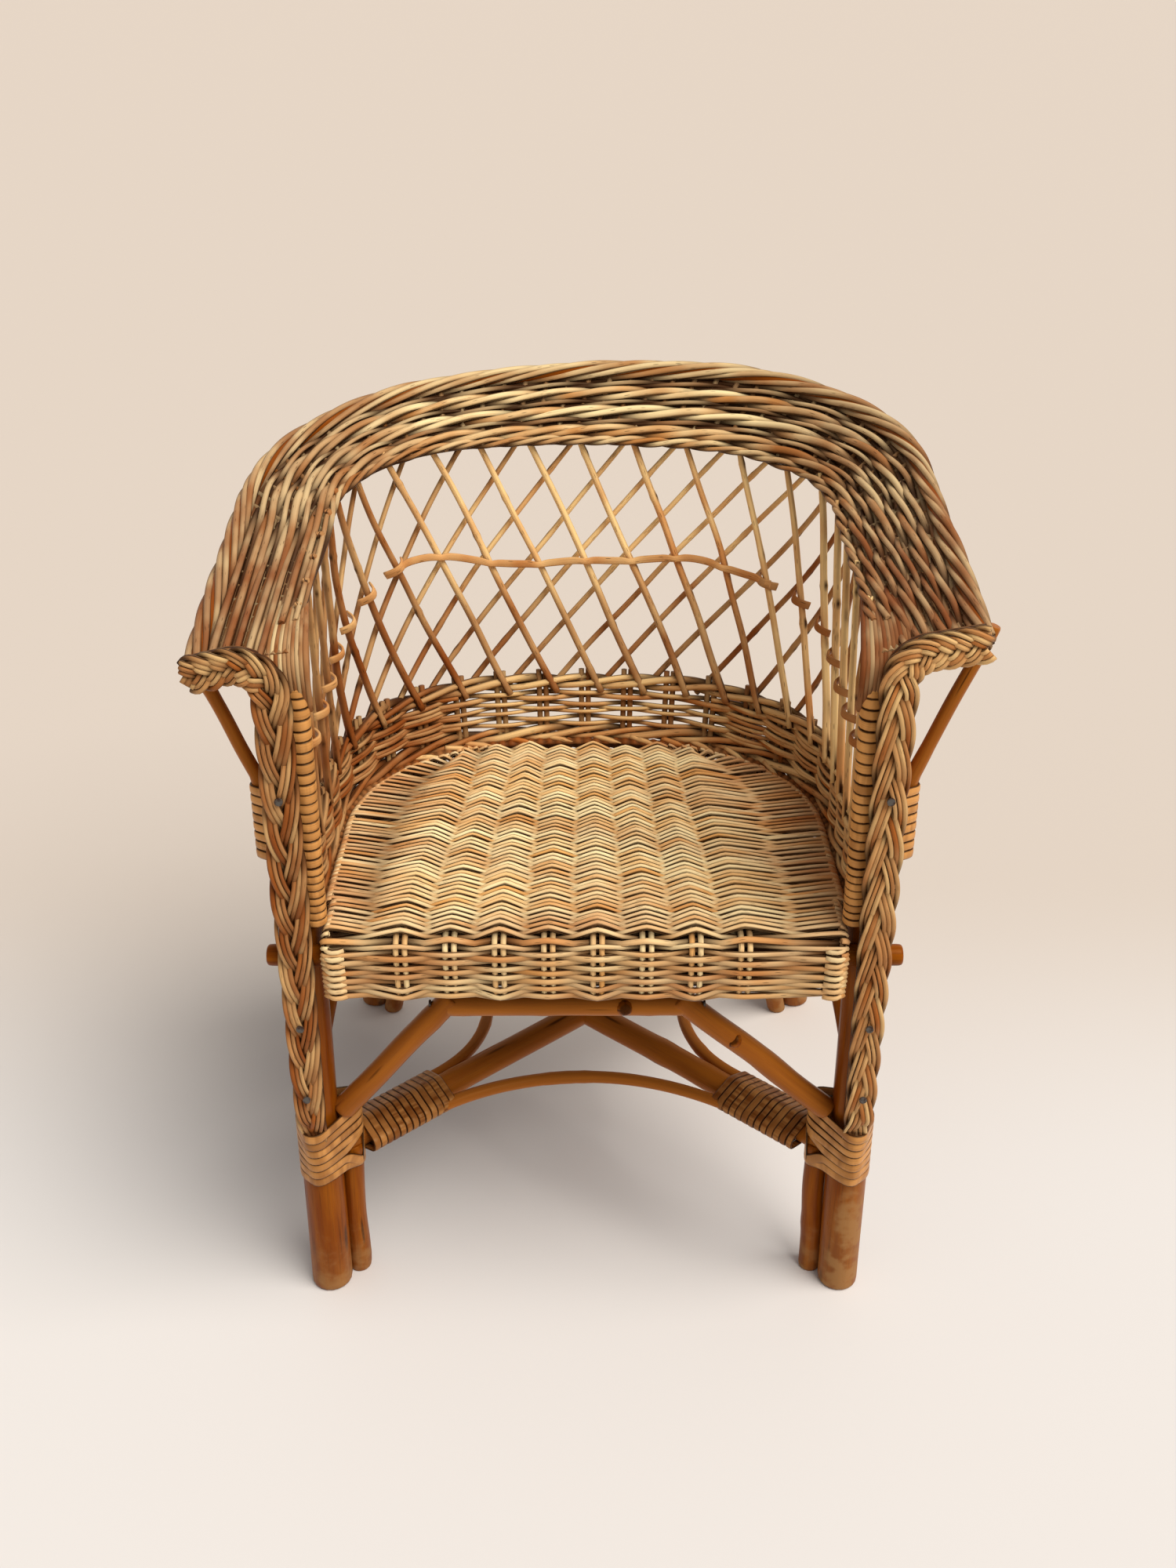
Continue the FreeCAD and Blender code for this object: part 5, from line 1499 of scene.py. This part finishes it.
class ARMCHAIR_OT_plaits(Operator):
    """Plait the rods along the arm fronts and down the posts"""

    bl_idname = "armchair.plaits"
    bl_label = "Plaits"

    def execute(self, context):
        rods = context.scene.armchair_rods
        for name, side in SIDES:
            bundle = Bundle(seed=61 + side)
            end = BORDER.at(side * BORDER.half_length(PLAIT_BACK))
            start = place(end[0] + side * PLAIT_OUT, PLAIT_DEPTH, end[2])
            corner = place(side * post_x(ARM_HEIGHT), PLAIT_DEPTH, ARM_HEIGHT + PLAIT_RISE)
            finish = place(side * post_x(PLAIT_END), PLAIT_DEPTH, PLAIT_END - PLAIT_TAIL)
            line = bent_line(start, corner, finish, PLAIT_BEND, PLAIT_STEP)
            self.plait(bundle, line, rods.plait_rod, side)
            bundle.build("plait_" + name, willow("shell"), "willow_rim", "front_plait_" + name)
        return {"FINISHED"}

    def plait(self, bundle, line, rod, side):
        """Strands of three rods: sideways by the sine, in and out by the sine of twice the angle.

        On the left a strand is in front while it goes from an edge to the middle, on the right
        the other way. The foot of the plait narrows and leans back against the post.
        """
        rng = bundle.rng
        rings = len(line)
        run = lengths_along(line)
        foot = smooth(*PLAIT_FOOT_RUN, run[-1] - run)
        line = line + np.outer(foot, BACKWARDS) * PLAIT_LEAN
        ahead = unit(np.gradient(line, axis=0))
        face = -BACKWARDS
        across = unit(np.cross(ahead, face))
        arm = 1 - smooth(*PLAIT_ARM, run)
        turn = between(*PLAIT_TURNS, arm[1:]) * MM
        phase = TAU * np.concatenate([[0], np.cumsum(np.diff(run) / turn)])
        half, narrower, foot_narrower = PLAIT_HALF
        wide = (half - narrower * smooth(*PLAIT_NARROWING, run) - foot_narrower * foot) * MM
        deep = (PLAIT_DEEP[0] - PLAIT_DEEP[1] * foot) * MM
        arm_shade, post_shade, arm_painted_shade = PLAIT_SHADES[side]
        shade = between(post_shade, arm_shade, arm)
        # Painted shade: the core is a dark strip between the strands; the back rods are painted
        # darker too.
        core = (line - face * CORE_BEHIND)[None]
        bundle.add(core, face, wide + CORE_WIDER, CORE_THICKNESS, grime=1.0, age=1.0)
        back = line - np.outer(between(*BACK_BEHIND, foot), face)
        back = back + across * TRIPLE * BACK_SPACING * (1 - 0.3 * foot)[:, None]
        bundle.add(back, face, BACK_ROD, grime=0.45, age=0.9)
        for strand in range(PLAIT_STRANDS):
            angle = phase + TAU * strand / PLAIT_STRANDS
            ahead_part = side * np.sin(2 * angle)
            middle = line + across * (wide * np.sin(angle))[:, None]
            middle = middle + face * (deep * ahead_part)[:, None]
            beside = unit(np.cross(unit(np.gradient(middle, axis=0)), face))
            paths = middle + beside * TRIPLE * STRAND_SPACING * rod
            paths = paths + face * drift(rng, 3, rings, STRAND_DRIFT, 9)[..., None]
            # Painted shade: a strand darkens where it lies behind the others, in the middle of the
            # plait, and on the left arm.
            grime = 0.42 - 0.36 * ahead_part + 0.25 * (1 - np.abs(np.sin(angle))) + arm_painted_shade * arm
            age = shade + 0.3 * rng.random((3, 1))
            thick = rod * (1 + STRAND_SPREAD * rng.normal(size=(3, 1)))
            bundle.add(paths, face, thick, grime=grime, age=age)


# ---------------------------------------------------------------- poles

ARCH_RADIUS = 7.5 * MM
BRACE_RADII = (7.6 * MM, 7.4 * MM)
SIDE_BRACE_RADIUS = 6.5 * MM
SIDE_BRACE_TOP = 85 * MM
STRUT_LEAN = math.radians(20)
STRUT_CURVE = 22 * MM
STRUT_CORNER = 4.4 * MM
STRUT_TOP_GAP = 4 * MM
STRUT_TAPER = 0.95
BOW_TAPER = 0.88
POST_TOP_GAP = 2 * MM
BRACE_INSET = 3 * MM
BRACE_PAST = 8 * MM
RAIL_PAST = 6 * MM
STAKE_GAPS = (4 * MM, 22 * MM)
POLE_STEP = 4 * MM
POLE_SIDES = 20
RING_STEP = 6 * MM
# A pole's ends: the rings that round them, where the even rings begin, what the rounding takes
# off the radius and how fast it fades.
END_RINGS = np.array([0, 0.5, 1.4, 3.0]) * MM
END_RUN = 5 * MM
END_LOSS = 0.16
END_FADE = 0.8 * MM
# How a pole has grown: swelling, bending, and nodes with their length and height.
POLE_SWELL = 0.012
POLE_BEND = 0.5 * MM
POLE_NODES = 3
NODE_LENGTH = 5 * MM
NODE_HEIGHT = 0.35 * MM
# The two legs that each bow joins, and the radius of its curve.
BOWS = {
    "front": ("front_left", "front_right", 175 * MM),
    "rear": ("rear_left", "rear_right", 130 * MM),
    "left": ("front_left", "rear_left", 95 * MM),
    "right": ("front_right", "rear_right", 95 * MM),
}
# Side branches that were cut off: share of the pole's length, and the way they point.
ARCH_STUB = (0.74, np.array([0.1, -1.0, 0.2]))
BRACE_STUBS = {-1: None, 1: (0.62, np.array([-0.3, -0.7, 0.7]))}
# A stub's rings: distance from the pole's axis, thickness in pole radii, and dirt.
STUB_REACH = np.array([0.5, 0.95, 1.12, 1.2, 1.22])
STUB_THICK = np.array([0.75, 0.66, 0.52, 0.42, 0.2])
STUB_GRIME = np.array([0.0, 0.1, 0.5, 0.9, 1.0])


def natural_pole(bundle, line, start_radius, end_radius, upright=False, fresh=0.0):
    """A grown pole: radius from one end to the other with swellings, rounded ends, slight bends.

    The rings of an upright pole are level, so that its foot stands flat on the floor.
    """
    rng = bundle.rng
    steps = lengths_along(line)
    whole = steps[-1]
    inner = np.linspace(END_RUN, whole - END_RUN, max(12, int(whole / RING_STEP)))
    run = np.concatenate([END_RINGS, inner, whole - END_RINGS[::-1]])
    path = np.stack([np.interp(run, steps, line[:, axis]) for axis in range(3)], axis=-1)
    from_end = np.minimum(run, whole - run)
    rounding = 1 - END_LOSS * np.exp(-from_end / END_FADE)
    rings = len(run)
    swell = 1 + drift(rng, 1, rings, POLE_SWELL, 6)[0]
    from_nodes = run[:, None] - whole * rng.random(POLE_NODES)
    nodes = np.exp(-((from_nodes / NODE_LENGTH) ** 2)).sum(axis=1)
    radius = between(start_radius, end_radius, run / whole) * swell * rounding
    radius = radius + NODE_HEIGHT * nodes
    ahead = unit(path[-1] - path[0])
    normal = BACKWARDS if abs(ahead[1]) < 0.8 else UP
    bow = np.sin(math.pi * run / whole) * drift(rng, 1, rings, POLE_BEND, 3)[0]
    path = path + np.outer(bow, unit(np.cross(ahead, normal)))
    facing = UP if upright else None
    bundle.add(path[None], normal, radius[None], sides=POLE_SIDES, facing=facing, age=fresh)


def straight(start, end):
    """A line of two points."""
    return np.stack([np.asarray(start, float), np.asarray(end, float)])


def bow_line(first, second, radius):
    """Line of a bow: along one stretcher arm, round the corner, along the other."""
    arms = [leg_joint[name] - cross_centre for name in (first, second)]
    ways = [unit(arm) for arm in arms]
    inside = unit(ways[0] + ways[1])
    offset = STRETCHER_RADIUS + BOW_RADIUS
    corner = cross_centre + inside * offset / math.sqrt(1 - ways[0].dot(inside) ** 2)
    ends = []
    for arm, way in zip(arms, ways):
        across = corner - cross_centre
        across = across - way * across.dot(way)
        ends.append(cross_centre + way * (np.linalg.norm(arm) - BOW_END) + across)
    return bent_line(ends[0], corner, ends[1], radius, POLE_STEP)


class ARMCHAIR_OT_poles(Operator):
    """Turn the poles of the frame into grown, varnished wood"""

    bl_idname = "armchair.poles"
    bl_label = "Poles"

    def execute(self, context):
        self.seed = 70
        for name, side in SIDES:
            self.side_poles(name, side)
        for name, (axis, side) in LEGS.items():
            radius = post_radius(0) if axis is post_axis else REAR_RADIUS
            beside = prop_way(name) * (radius + PROP_RADIUS)
            lift = leg_way[name] / leg_way[name][2]
            head = leg_joint[name] + beside
            foot = head - lift * head[2]
            line = straight(foot, head)
            self.pole("leg_prop_" + name, line, PROP_RADIUS, upright=True)
        line = straight(leg_joint["front_left"], leg_joint["rear_right"])
        self.pole("stretcher_diagonal", line, STRETCHER_RADIUS, fresh=0.25)
        for name in ("front_right", "rear_left"):
            line = straight(leg_joint[name], cross_centre)
            self.pole("stretcher_arm_" + name, line, STRETCHER_RADIUS, fresh=0.25)
        for name, (first, second, bend) in BOWS.items():
            line = bow_line(first, second, bend)
            radii = (BOW_RADIUS, BOW_TAPER * BOW_RADIUS)
            self.pole("stretcher_bow_" + name, line, *radii, fresh=0.4)
        self.cross_rails()
        return {"FINISHED"}

    def pole(
        self, node, line, first, last=None, slot="pole_wood", upright=False, stub=None, fresh=0.0
    ):
        """One pole in place of the solid of that name, with its radius at both ends, if they
        differ, and at times the stub of a branch."""
        self.seed += 1
        bundle = Bundle(self.seed)
        natural_pole(bundle, line, first, last or first, upright, fresh)
        if stub is not None:
            share, way = stub
            root = between(line[0], line[-1], share)
            path = root + np.outer(STUB_REACH * first, unit(way))
            bundle.add(path[None], UP, first * STUB_THICK, sides=12, grime=STUB_GRIME)
        bundle.build("grown_" + node, pole_varnish(), slot, node)

    def side_poles(self, name, side):
        """Posts, rear legs, rails, braces, stakes and struts of one side."""
        line = straight(post_axis(side, 0), post_axis(side, POST_LENGTH - POST_TOP_GAP))
        self.pole("front_post_" + name, line, *POST_RADIUS, upright=True)
        line = straight(rear_axis(side, 0), rear_axis(side, REAR_TOP_HEIGHT))
        self.pole("rear_leg_" + name, line, REAR_RADIUS, upright=True)
        line = straight(post_axis(side, RAIL_HEIGHT), rear_axis(side, RAIL_HEIGHT))
        self.pole("side_seat_rail_" + name, line, RAIL_RADIUS)
        inner_face = post_x(BRACE_FOOT) - post_radius(BRACE_FOOT)
        foot = place(side * (inner_face - BRACE_INSET), 0, BRACE_FOOT)
        joint = arch_joint(side)
        line = straight(foot, joint + unit(joint - foot) * BRACE_PAST)
        stub = BRACE_STUBS[side]
        self.pole("front_brace_" + name, line, *BRACE_RADII, stub=stub, fresh=0.3)
        foot = post_axis(side, BRACE_FOOT)
        foot = foot + np.array([side * SIDE_BRACE_RADIUS, post_radius(BRACE_FOOT), 0])
        line = straight(foot, side_rail_point(side, SIDE_BRACE_TOP))
        self.pole("side_brace_" + name, line, SIDE_BRACE_RADIUS)
        height = np.linspace(SEAT_HEIGHT + STAKE_GAPS[0], ARM_HEIGHT - STAKE_GAPS[1], 30)
        line = post_axis(side, height) + stake_offset(side, height)
        self.pole("end_stake_" + name, line, STAKE_RADIUS, slot="willow_shell")
        outside = -inward(side) * (post_radius(STRUT_FOOT) + STRUT_RADIUS)
        low = post_axis(side, STRUT_FOOT) + outside
        corner = post_axis(side, STRUT_BEND + STRUT_CORNER) + outside
        border_height = BORDER.at(side * BORDER.half_length(0.0))[2]
        rise = border_height - corner[2] - STRUT_TOP_GAP
        high = corner + np.array([side * rise * math.tan(STRUT_LEAN), 0, rise])
        line = bent_line(low, corner, high, STRUT_CURVE, POLE_STEP)
        self.pole("arm_strut_" + name, line, STRUT_RADIUS, STRUT_TAPER * STRUT_RADIUS, fresh=0.35)

    def cross_rails(self):
        """Rails that run across the chair."""
        half = post_x(RAIL_HEIGHT) + post_radius(RAIL_HEIGHT) + RAIL_PAST
        line = straight(*(place(side * half, RAIL_DEPTH, RAIL_HEIGHT) for side in (-1, 1)))
        self.pole("front_seat_rail", line, RAIL_RADIUS)
        line = straight(arch_joint(-1), arch_joint(1))
        self.pole("arch_rail", line, ARCH_RADIUS, stub=ARCH_STUB, fresh=0.45)
        line = straight(*(side_rail_point(side, REAR_RAIL_DEPTH) for side in (-1, 1)))
        self.pole("rear_seat_rail", line, RAIL_RADIUS)


# ---------------------------------------------------------------- cane windings

HULL_RINGS = 181
WIND_STEP = 2.4 * MM
# Height of a turn in halves of the cane's width, a little more than the cane needs.
WIND_PITCH = 2.04
# Windings up a post: the cane's width in shares of the set width, and both ends' heights.
POST_SPANS = {
    "band_loop": (1.05, SEAT_HEIGHT + 3 * MM, STRUT_FOOT),
    "strut_winding": (1.35, STRUT_FOOT, STRUT_BEND + 4 * MM),
    "post_winding": (1.35, STRUT_BEND + 4 * MM, ARM_HEIGHT - 20 * MM),
}
LEG_SPAN = (103 * MM, 153 * MM)
STRETCHER_SPAN = (30 * MM, 96 * MM)
# Widths of the cane on legs and stretchers, and the gap it leaves beside a stretcher, in
# shares of its width on the posts.
LEG_WIDTH = 1.5
STRETCHER_WIDTH = 1.05
STRETCHER_GAP = 1.6
# Depth and radius of what lies before a front leg, at the lower and the upper end of its cane.
PLAIT_FOOT = ((10 * MM, 5.5 * MM), (17.5 * MM, 6.5 * MM))
# Shades of the turns, from the lightest to the darkest.
POST_TONES = (-0.1, 0.45)
LEG_TONES = (0.3, 0.65)
STRETCHER_TONES = (0.8, 1.3)


def hull(circles):
    """Tight line round circles of x, y and radius: points and outward normals, and its length.

    In each direction the circle that reaches farthest gives the point, its centre plus its
    radius times the direction; the points are then spaced evenly.
    """
    angle = np.linspace(math.pi / 2, 5 * math.pi / 2, 721)
    way = np.stack([np.cos(angle), np.sin(angle)], axis=-1)
    circles = np.asarray(circles)
    farthest = np.argmax(way @ circles[:, :2].T + circles[:, 2], axis=1)
    points = circles[farthest, :2] + way * circles[farthest, 2:]
    run = lengths_along(points)
    even = np.linspace(0, run[-1], HULL_RINGS)
    columns = [np.interp(even, run, column) for column in (*points.T, *way.T)]
    return np.stack(columns, axis=-1), run[-1]


def wind(
    bundle, origin, axis, beside, hidden, first, last, start, end, width, thickness,
    tones, clear=None,
):
    """Flat cane wound in a helix of even pitch round poles, given as offsets and radii.

    The poles change from first to last on the way. Both cane ends lie on the hidden side.
    clear names a height and half a gap beyond the poles, which the turns part around.
    """
    rng = bundle.rng
    across = np.cross(axis, beside)
    across = across * np.sign(across.dot(hidden))
    plane = np.stack([beside, across])
    rounds = (
        hull([(*(plane @ way), reach + thickness) for way, reach in poles])
        for poles in (first, last)
    )
    shapes, laps = zip(*rounds)
    turns = max(1, round((end - start) / (WIND_PITCH * width)))
    half = (end - start) / turns / WIND_PITCH
    run = np.linspace(0, turns, int(turns * max(laps) / WIND_STEP))
    even = np.linspace(0, 1, HULL_RINGS)
    low, high = (
        np.stack([np.interp(run % 1, even, column) for column in shape.T], axis=-1)
        for shape in shapes
    )
    share = run / turns
    x, y, out_x, out_y = between(low, high, share[:, None]).T
    height = between(start, end, share)
    if clear is not None:
        level, gap = clear
        away = height - level
        far = smooth(0.35, 0.95, x / x.max())
        height = height + far * np.sign(away) * np.maximum(gap - np.abs(away), 0)
    path = origin + np.outer(x, beside) + np.outer(y, across) + np.outer(height, axis)
    normal = np.outer(out_x, beside) + np.outer(out_y, across)
    lap_tone = between(*tones, rng.random(turns + 3))
    tone = np.interp(run, np.arange(len(lap_tone)), lap_tone)
    wide = half * (1 + drift(rng, 1, len(run), 0.05, 9))
    bundle.add(
        path[None], normal[None], wide, thickness, sides=10, square=0.75, tone=tone, grime=0.1
    )


class ARMCHAIR_OT_windings(Operator):
    """Wind flat cane round posts, legs and stretchers"""

    bl_idname = "armchair.windings"
    bl_label = "Windings"

    def execute(self, context):
        rods = context.scene.armchair_rods
        width, thickness = rods.cane_width, rods.cane_thickness
        for name, side in SIDES:
            self.post_canes(name, side, width, thickness)
        for number, name in enumerate(LEGS):
            self.leg_cane(name, Bundle(seed=101 + number), width, thickness)
            self.stretcher_cane(name, Bundle(seed=111 + number), width, thickness)
        return {"FINISHED"}

    def leg_cane(self, name, bundle, width, thickness):
        """Cane round a leg and its prop; round the plait's foot too on a front leg."""
        axis, along, way = LEGS[name][0], leg_way[name], prop_way(name)
        front = axis is post_axis
        radius = post_radius(STRETCHER_HEIGHT) if front else REAR_RADIUS
        pair = [(0 * way, radius), (way * (radius + PROP_RADIUS), PROP_RADIUS)]
        before = [(-BACKWARDS * depth, reach) for depth, reach in PLAIT_FOOT]
        first, last = ([*pair, spot] if front else pair for spot in before)
        clear = (STRETCHER_HEIGHT, STRETCHER_RADIUS + STRETCHER_GAP * width)
        wind(
            bundle, leg_joint[name] - along * STRETCHER_HEIGHT, along, way, BACKWARDS,
            first, last, *LEG_SPAN, LEG_WIDTH * width, thickness, LEG_TONES, clear,
        )
        bundle.build("leg_cane_" + name, cane_skin(), "cane_binding", "leg_binding_" + name)

    def stretcher_cane(self, name, bundle, width, thickness):
        """Cane round a stretcher's end and the ends of the two bows beside it."""
        along = unit(cross_centre - leg_joint[name])
        flat = np.cross(UP, along)
        beside = STRETCHER_RADIUS + BOW_RADIUS
        bows = [(flat * hand * beside, BOW_RADIUS) for hand in (-1, 1)]
        poles = [(0 * flat, STRETCHER_RADIUS), *bows]
        wind(
            bundle, leg_joint[name], along, flat, -UP, poles, poles,
            *STRETCHER_SPAN, STRETCHER_WIDTH * width, thickness, STRETCHER_TONES,
        )
        node = "stretcher_winding_" + name
        bundle.build("stretcher_cane_" + name, cane_skin(), "cane_binding", node)

    def post_canes(self, name, side, width, thickness):
        """Three windings up a post: over the band's ends, over the strut, and above it."""
        for number, (node, (stretch, *span)) in enumerate(POST_SPANS.items()):
            ends = []
            for height in span:
                poles = [(0 * UP, post_radius(height)), (stake_offset(side, height), STAKE_RADIUS)]
                if node == "strut_winding":
                    outside = post_radius(STRUT_FOOT) + STRUT_RADIUS
                    poles.append((-inward(side) * outside, STRUT_RADIUS))
                ends.append(poles)
            bundle = Bundle(seed=91 + 5 * side + number)
            wind(
                bundle, post_axis(side, 0), leg_way["front_" + name], inward(side), BACKWARDS,
                *ends, *span, stretch * width, thickness, POST_TONES,
            )
            label = node + "_" + name
            bundle.build("cane_" + label, cane_skin(), "cane_binding", label)


class ARMCHAIR_OT_fixings(Operator):
    """Give the nails and the hoop inside the border their finish"""

    bl_idname = "armchair.fixings"
    bl_label = "Nails and hoop"

    def execute(self, context):
        steel = stained_steel()
        finishes = {"plait_nails": steel, "frame_nails": steel, "rim_hoop": pole_varnish()}
        for node, material in finishes.items():
            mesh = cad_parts[node].data
            mesh.materials.clear()
            mesh.materials.append(material)
        return {"FINISHED"}


# ---------------------------------------------------------------- stage

FLOOR_REACH = 40.0
# The floor's tint goes from near to far between these depths; past the rim it is all far.
FLOOR_FADE = (-0.1, 0.37)
FLOOR_RIM = 1.2
KEY_STRENGTH = 3.4
KEY_SPREAD = math.radians(44)
KEY_COLOUR = (1.0, 0.97, 0.92)
KEY_TURN = (math.radians(18), math.radians(28), 0)
SKY_LIGHT = (0.395, 0.392, 0.389, 1)
SENSOR = 36
CAMERA_PLACE = place(0, -722.5 * MM, 810 * MM)
CAMERA_TILT = math.radians(30)
CAMERA_LENS = SENSOR * 1902 / 2000
CAMERA_SHIFT = 4 / 2000


class ARMCHAIR_OT_stage(Operator):
    """Lay the floor, hang the lamp and set up the camera"""

    bl_idname = "armchair.stage"
    bl_label = "Stage"

    def execute(self, context):
        scene = context.scene
        colours = scene.armchair_colours
        scene.view_settings.view_transform = "Standard"
        self.floor(scene, colours)
        self.light(scene, colours)
        camera = bpy.data.cameras.new("camera")
        camera.lens = CAMERA_LENS
        camera.sensor_width = SENSOR
        camera.shift_x = CAMERA_SHIFT
        eye = bpy.data.objects.new("camera", camera)
        eye.location = CAMERA_PLACE
        eye.rotation_euler = (math.pi / 2 - CAMERA_TILT, 0, 0)
        scene.collection.objects.link(eye)
        scene.camera = eye
        return {"FINISHED"}

    def floor(self, scene, colours):
        """A wide plain floor that darkens slightly towards the back and far away."""
        mesh = bpy.data.meshes.new("floor")
        corners = np.array([[-1, -1, 0], [1, -1, 0], [1, 1, 0], [-1, 1, 0]]) * FLOOR_REACH
        mesh.from_pydata(corners.tolist(), [], [(0, 1, 2, 3)])
        material = bpy.data.materials.new("floor")
        material.use_nodes = True
        wiring = Wiring(material.node_tree)
        spot = wiring.node("ShaderNodeTexCoord").outputs["Object"]
        depth = wiring.node("ShaderNodeSeparateXYZ", {0: spot}).outputs[1]
        reach = wiring.node("ShaderNodeVectorMath", {0: spot}, operation="LENGTH").outputs["Value"]
        away = wiring.calc("MAXIMUM", depth, wiring.calc("SUBTRACT", reach, FLOOR_RIM))
        far = wiring.ramp(away, *FLOOR_FADE)
        tint = wiring.blend(far, (*colours.floor_near, 1), (*colours.floor_far, 1))
        shader = material.node_tree.nodes["Principled BSDF"]
        wiring.join(shader, {"Base Color": tint, "Roughness": 0.9, "Specular IOR Level": 0.1})
        mesh.materials.append(material)
        floor = bpy.data.objects.new("floor", mesh)
        scene.collection.objects.link(floor)

    def light(self, scene, colours):
        """A soft lamp from the upper right, and an even sky."""
        lamp = bpy.data.lights.new("key", "SUN")
        lamp.energy = KEY_STRENGTH
        lamp.angle = KEY_SPREAD
        lamp.color = KEY_COLOUR
        key = bpy.data.objects.new("key", lamp)
        key.rotation_euler = KEY_TURN
        scene.collection.objects.link(key)
        world = bpy.data.worlds.new("studio")
        world.use_nodes = True
        scene.world = world
        wiring = Wiring(world.node_tree)
        rays = wiring.node("ShaderNodeLightPath").outputs
        mirrored = wiring.calc("MAXIMUM", rays["Is Glossy Ray"], rays["Is Transmission Ray"])
        seen = wiring.calc("MAXIMUM", rays["Is Camera Ray"], mirrored)
        tint = wiring.blend(seen, SKY_LIGHT, (*colours.backdrop, 1))
        wiring.join(world.node_tree.nodes["Background"], {"Color": tint})


# ---------------------------------------------------------------- add-on

STEPS = (
    ARMCHAIR_OT_stage,
    ARMCHAIR_OT_poles,
    ARMCHAIR_OT_seat,
    ARMCHAIR_OT_band,
    ARMCHAIR_OT_lattice,
    ARMCHAIR_OT_rim,
    ARMCHAIR_OT_plaits,
    ARMCHAIR_OT_windings,
    ARMCHAIR_OT_fixings,
)


class ARMCHAIR_PT_panel(Panel):
    """Lists the pieces of the armchair"""

    bl_idname = "ARMCHAIR_PT_panel"
    bl_label = "Woven armchair"
    bl_space_type = "VIEW_3D"
    bl_region_type = "UI"
    bl_category = "Armchair"

    def draw(self, context):
        for step in STEPS:
            self.layout.operator(step.bl_idname)
        for group in (context.scene.armchair_rods, context.scene.armchair_colours):
            for name in group.bl_rna.properties.keys():
                if name not in ("rna_type", "name"):
                    self.layout.prop(group, name)


CLASSES = (ArmchairRods, ArmchairColours, *STEPS, ARMCHAIR_PT_panel)


def register():
    """Register the classes and attach the settings to the scene."""
    for cls in CLASSES:
        bpy.utils.register_class(cls)
    bpy.types.Scene.armchair_rods = PointerProperty(type=ArmchairRods)
    bpy.types.Scene.armchair_colours = PointerProperty(type=ArmchairColours)


def unregister():
    """Take the settings off the scene and unregister the classes."""
    del bpy.types.Scene.armchair_colours
    del bpy.types.Scene.armchair_rods
    for cls in reversed(CLASSES):
        bpy.utils.unregister_class(cls)


def main():
    """Build every piece in order."""
    register()
    for step in STEPS:
        group, name = step.bl_idname.split(".")
        getattr(getattr(bpy.ops, group), name)()


if __name__ == "__main__":
    main()
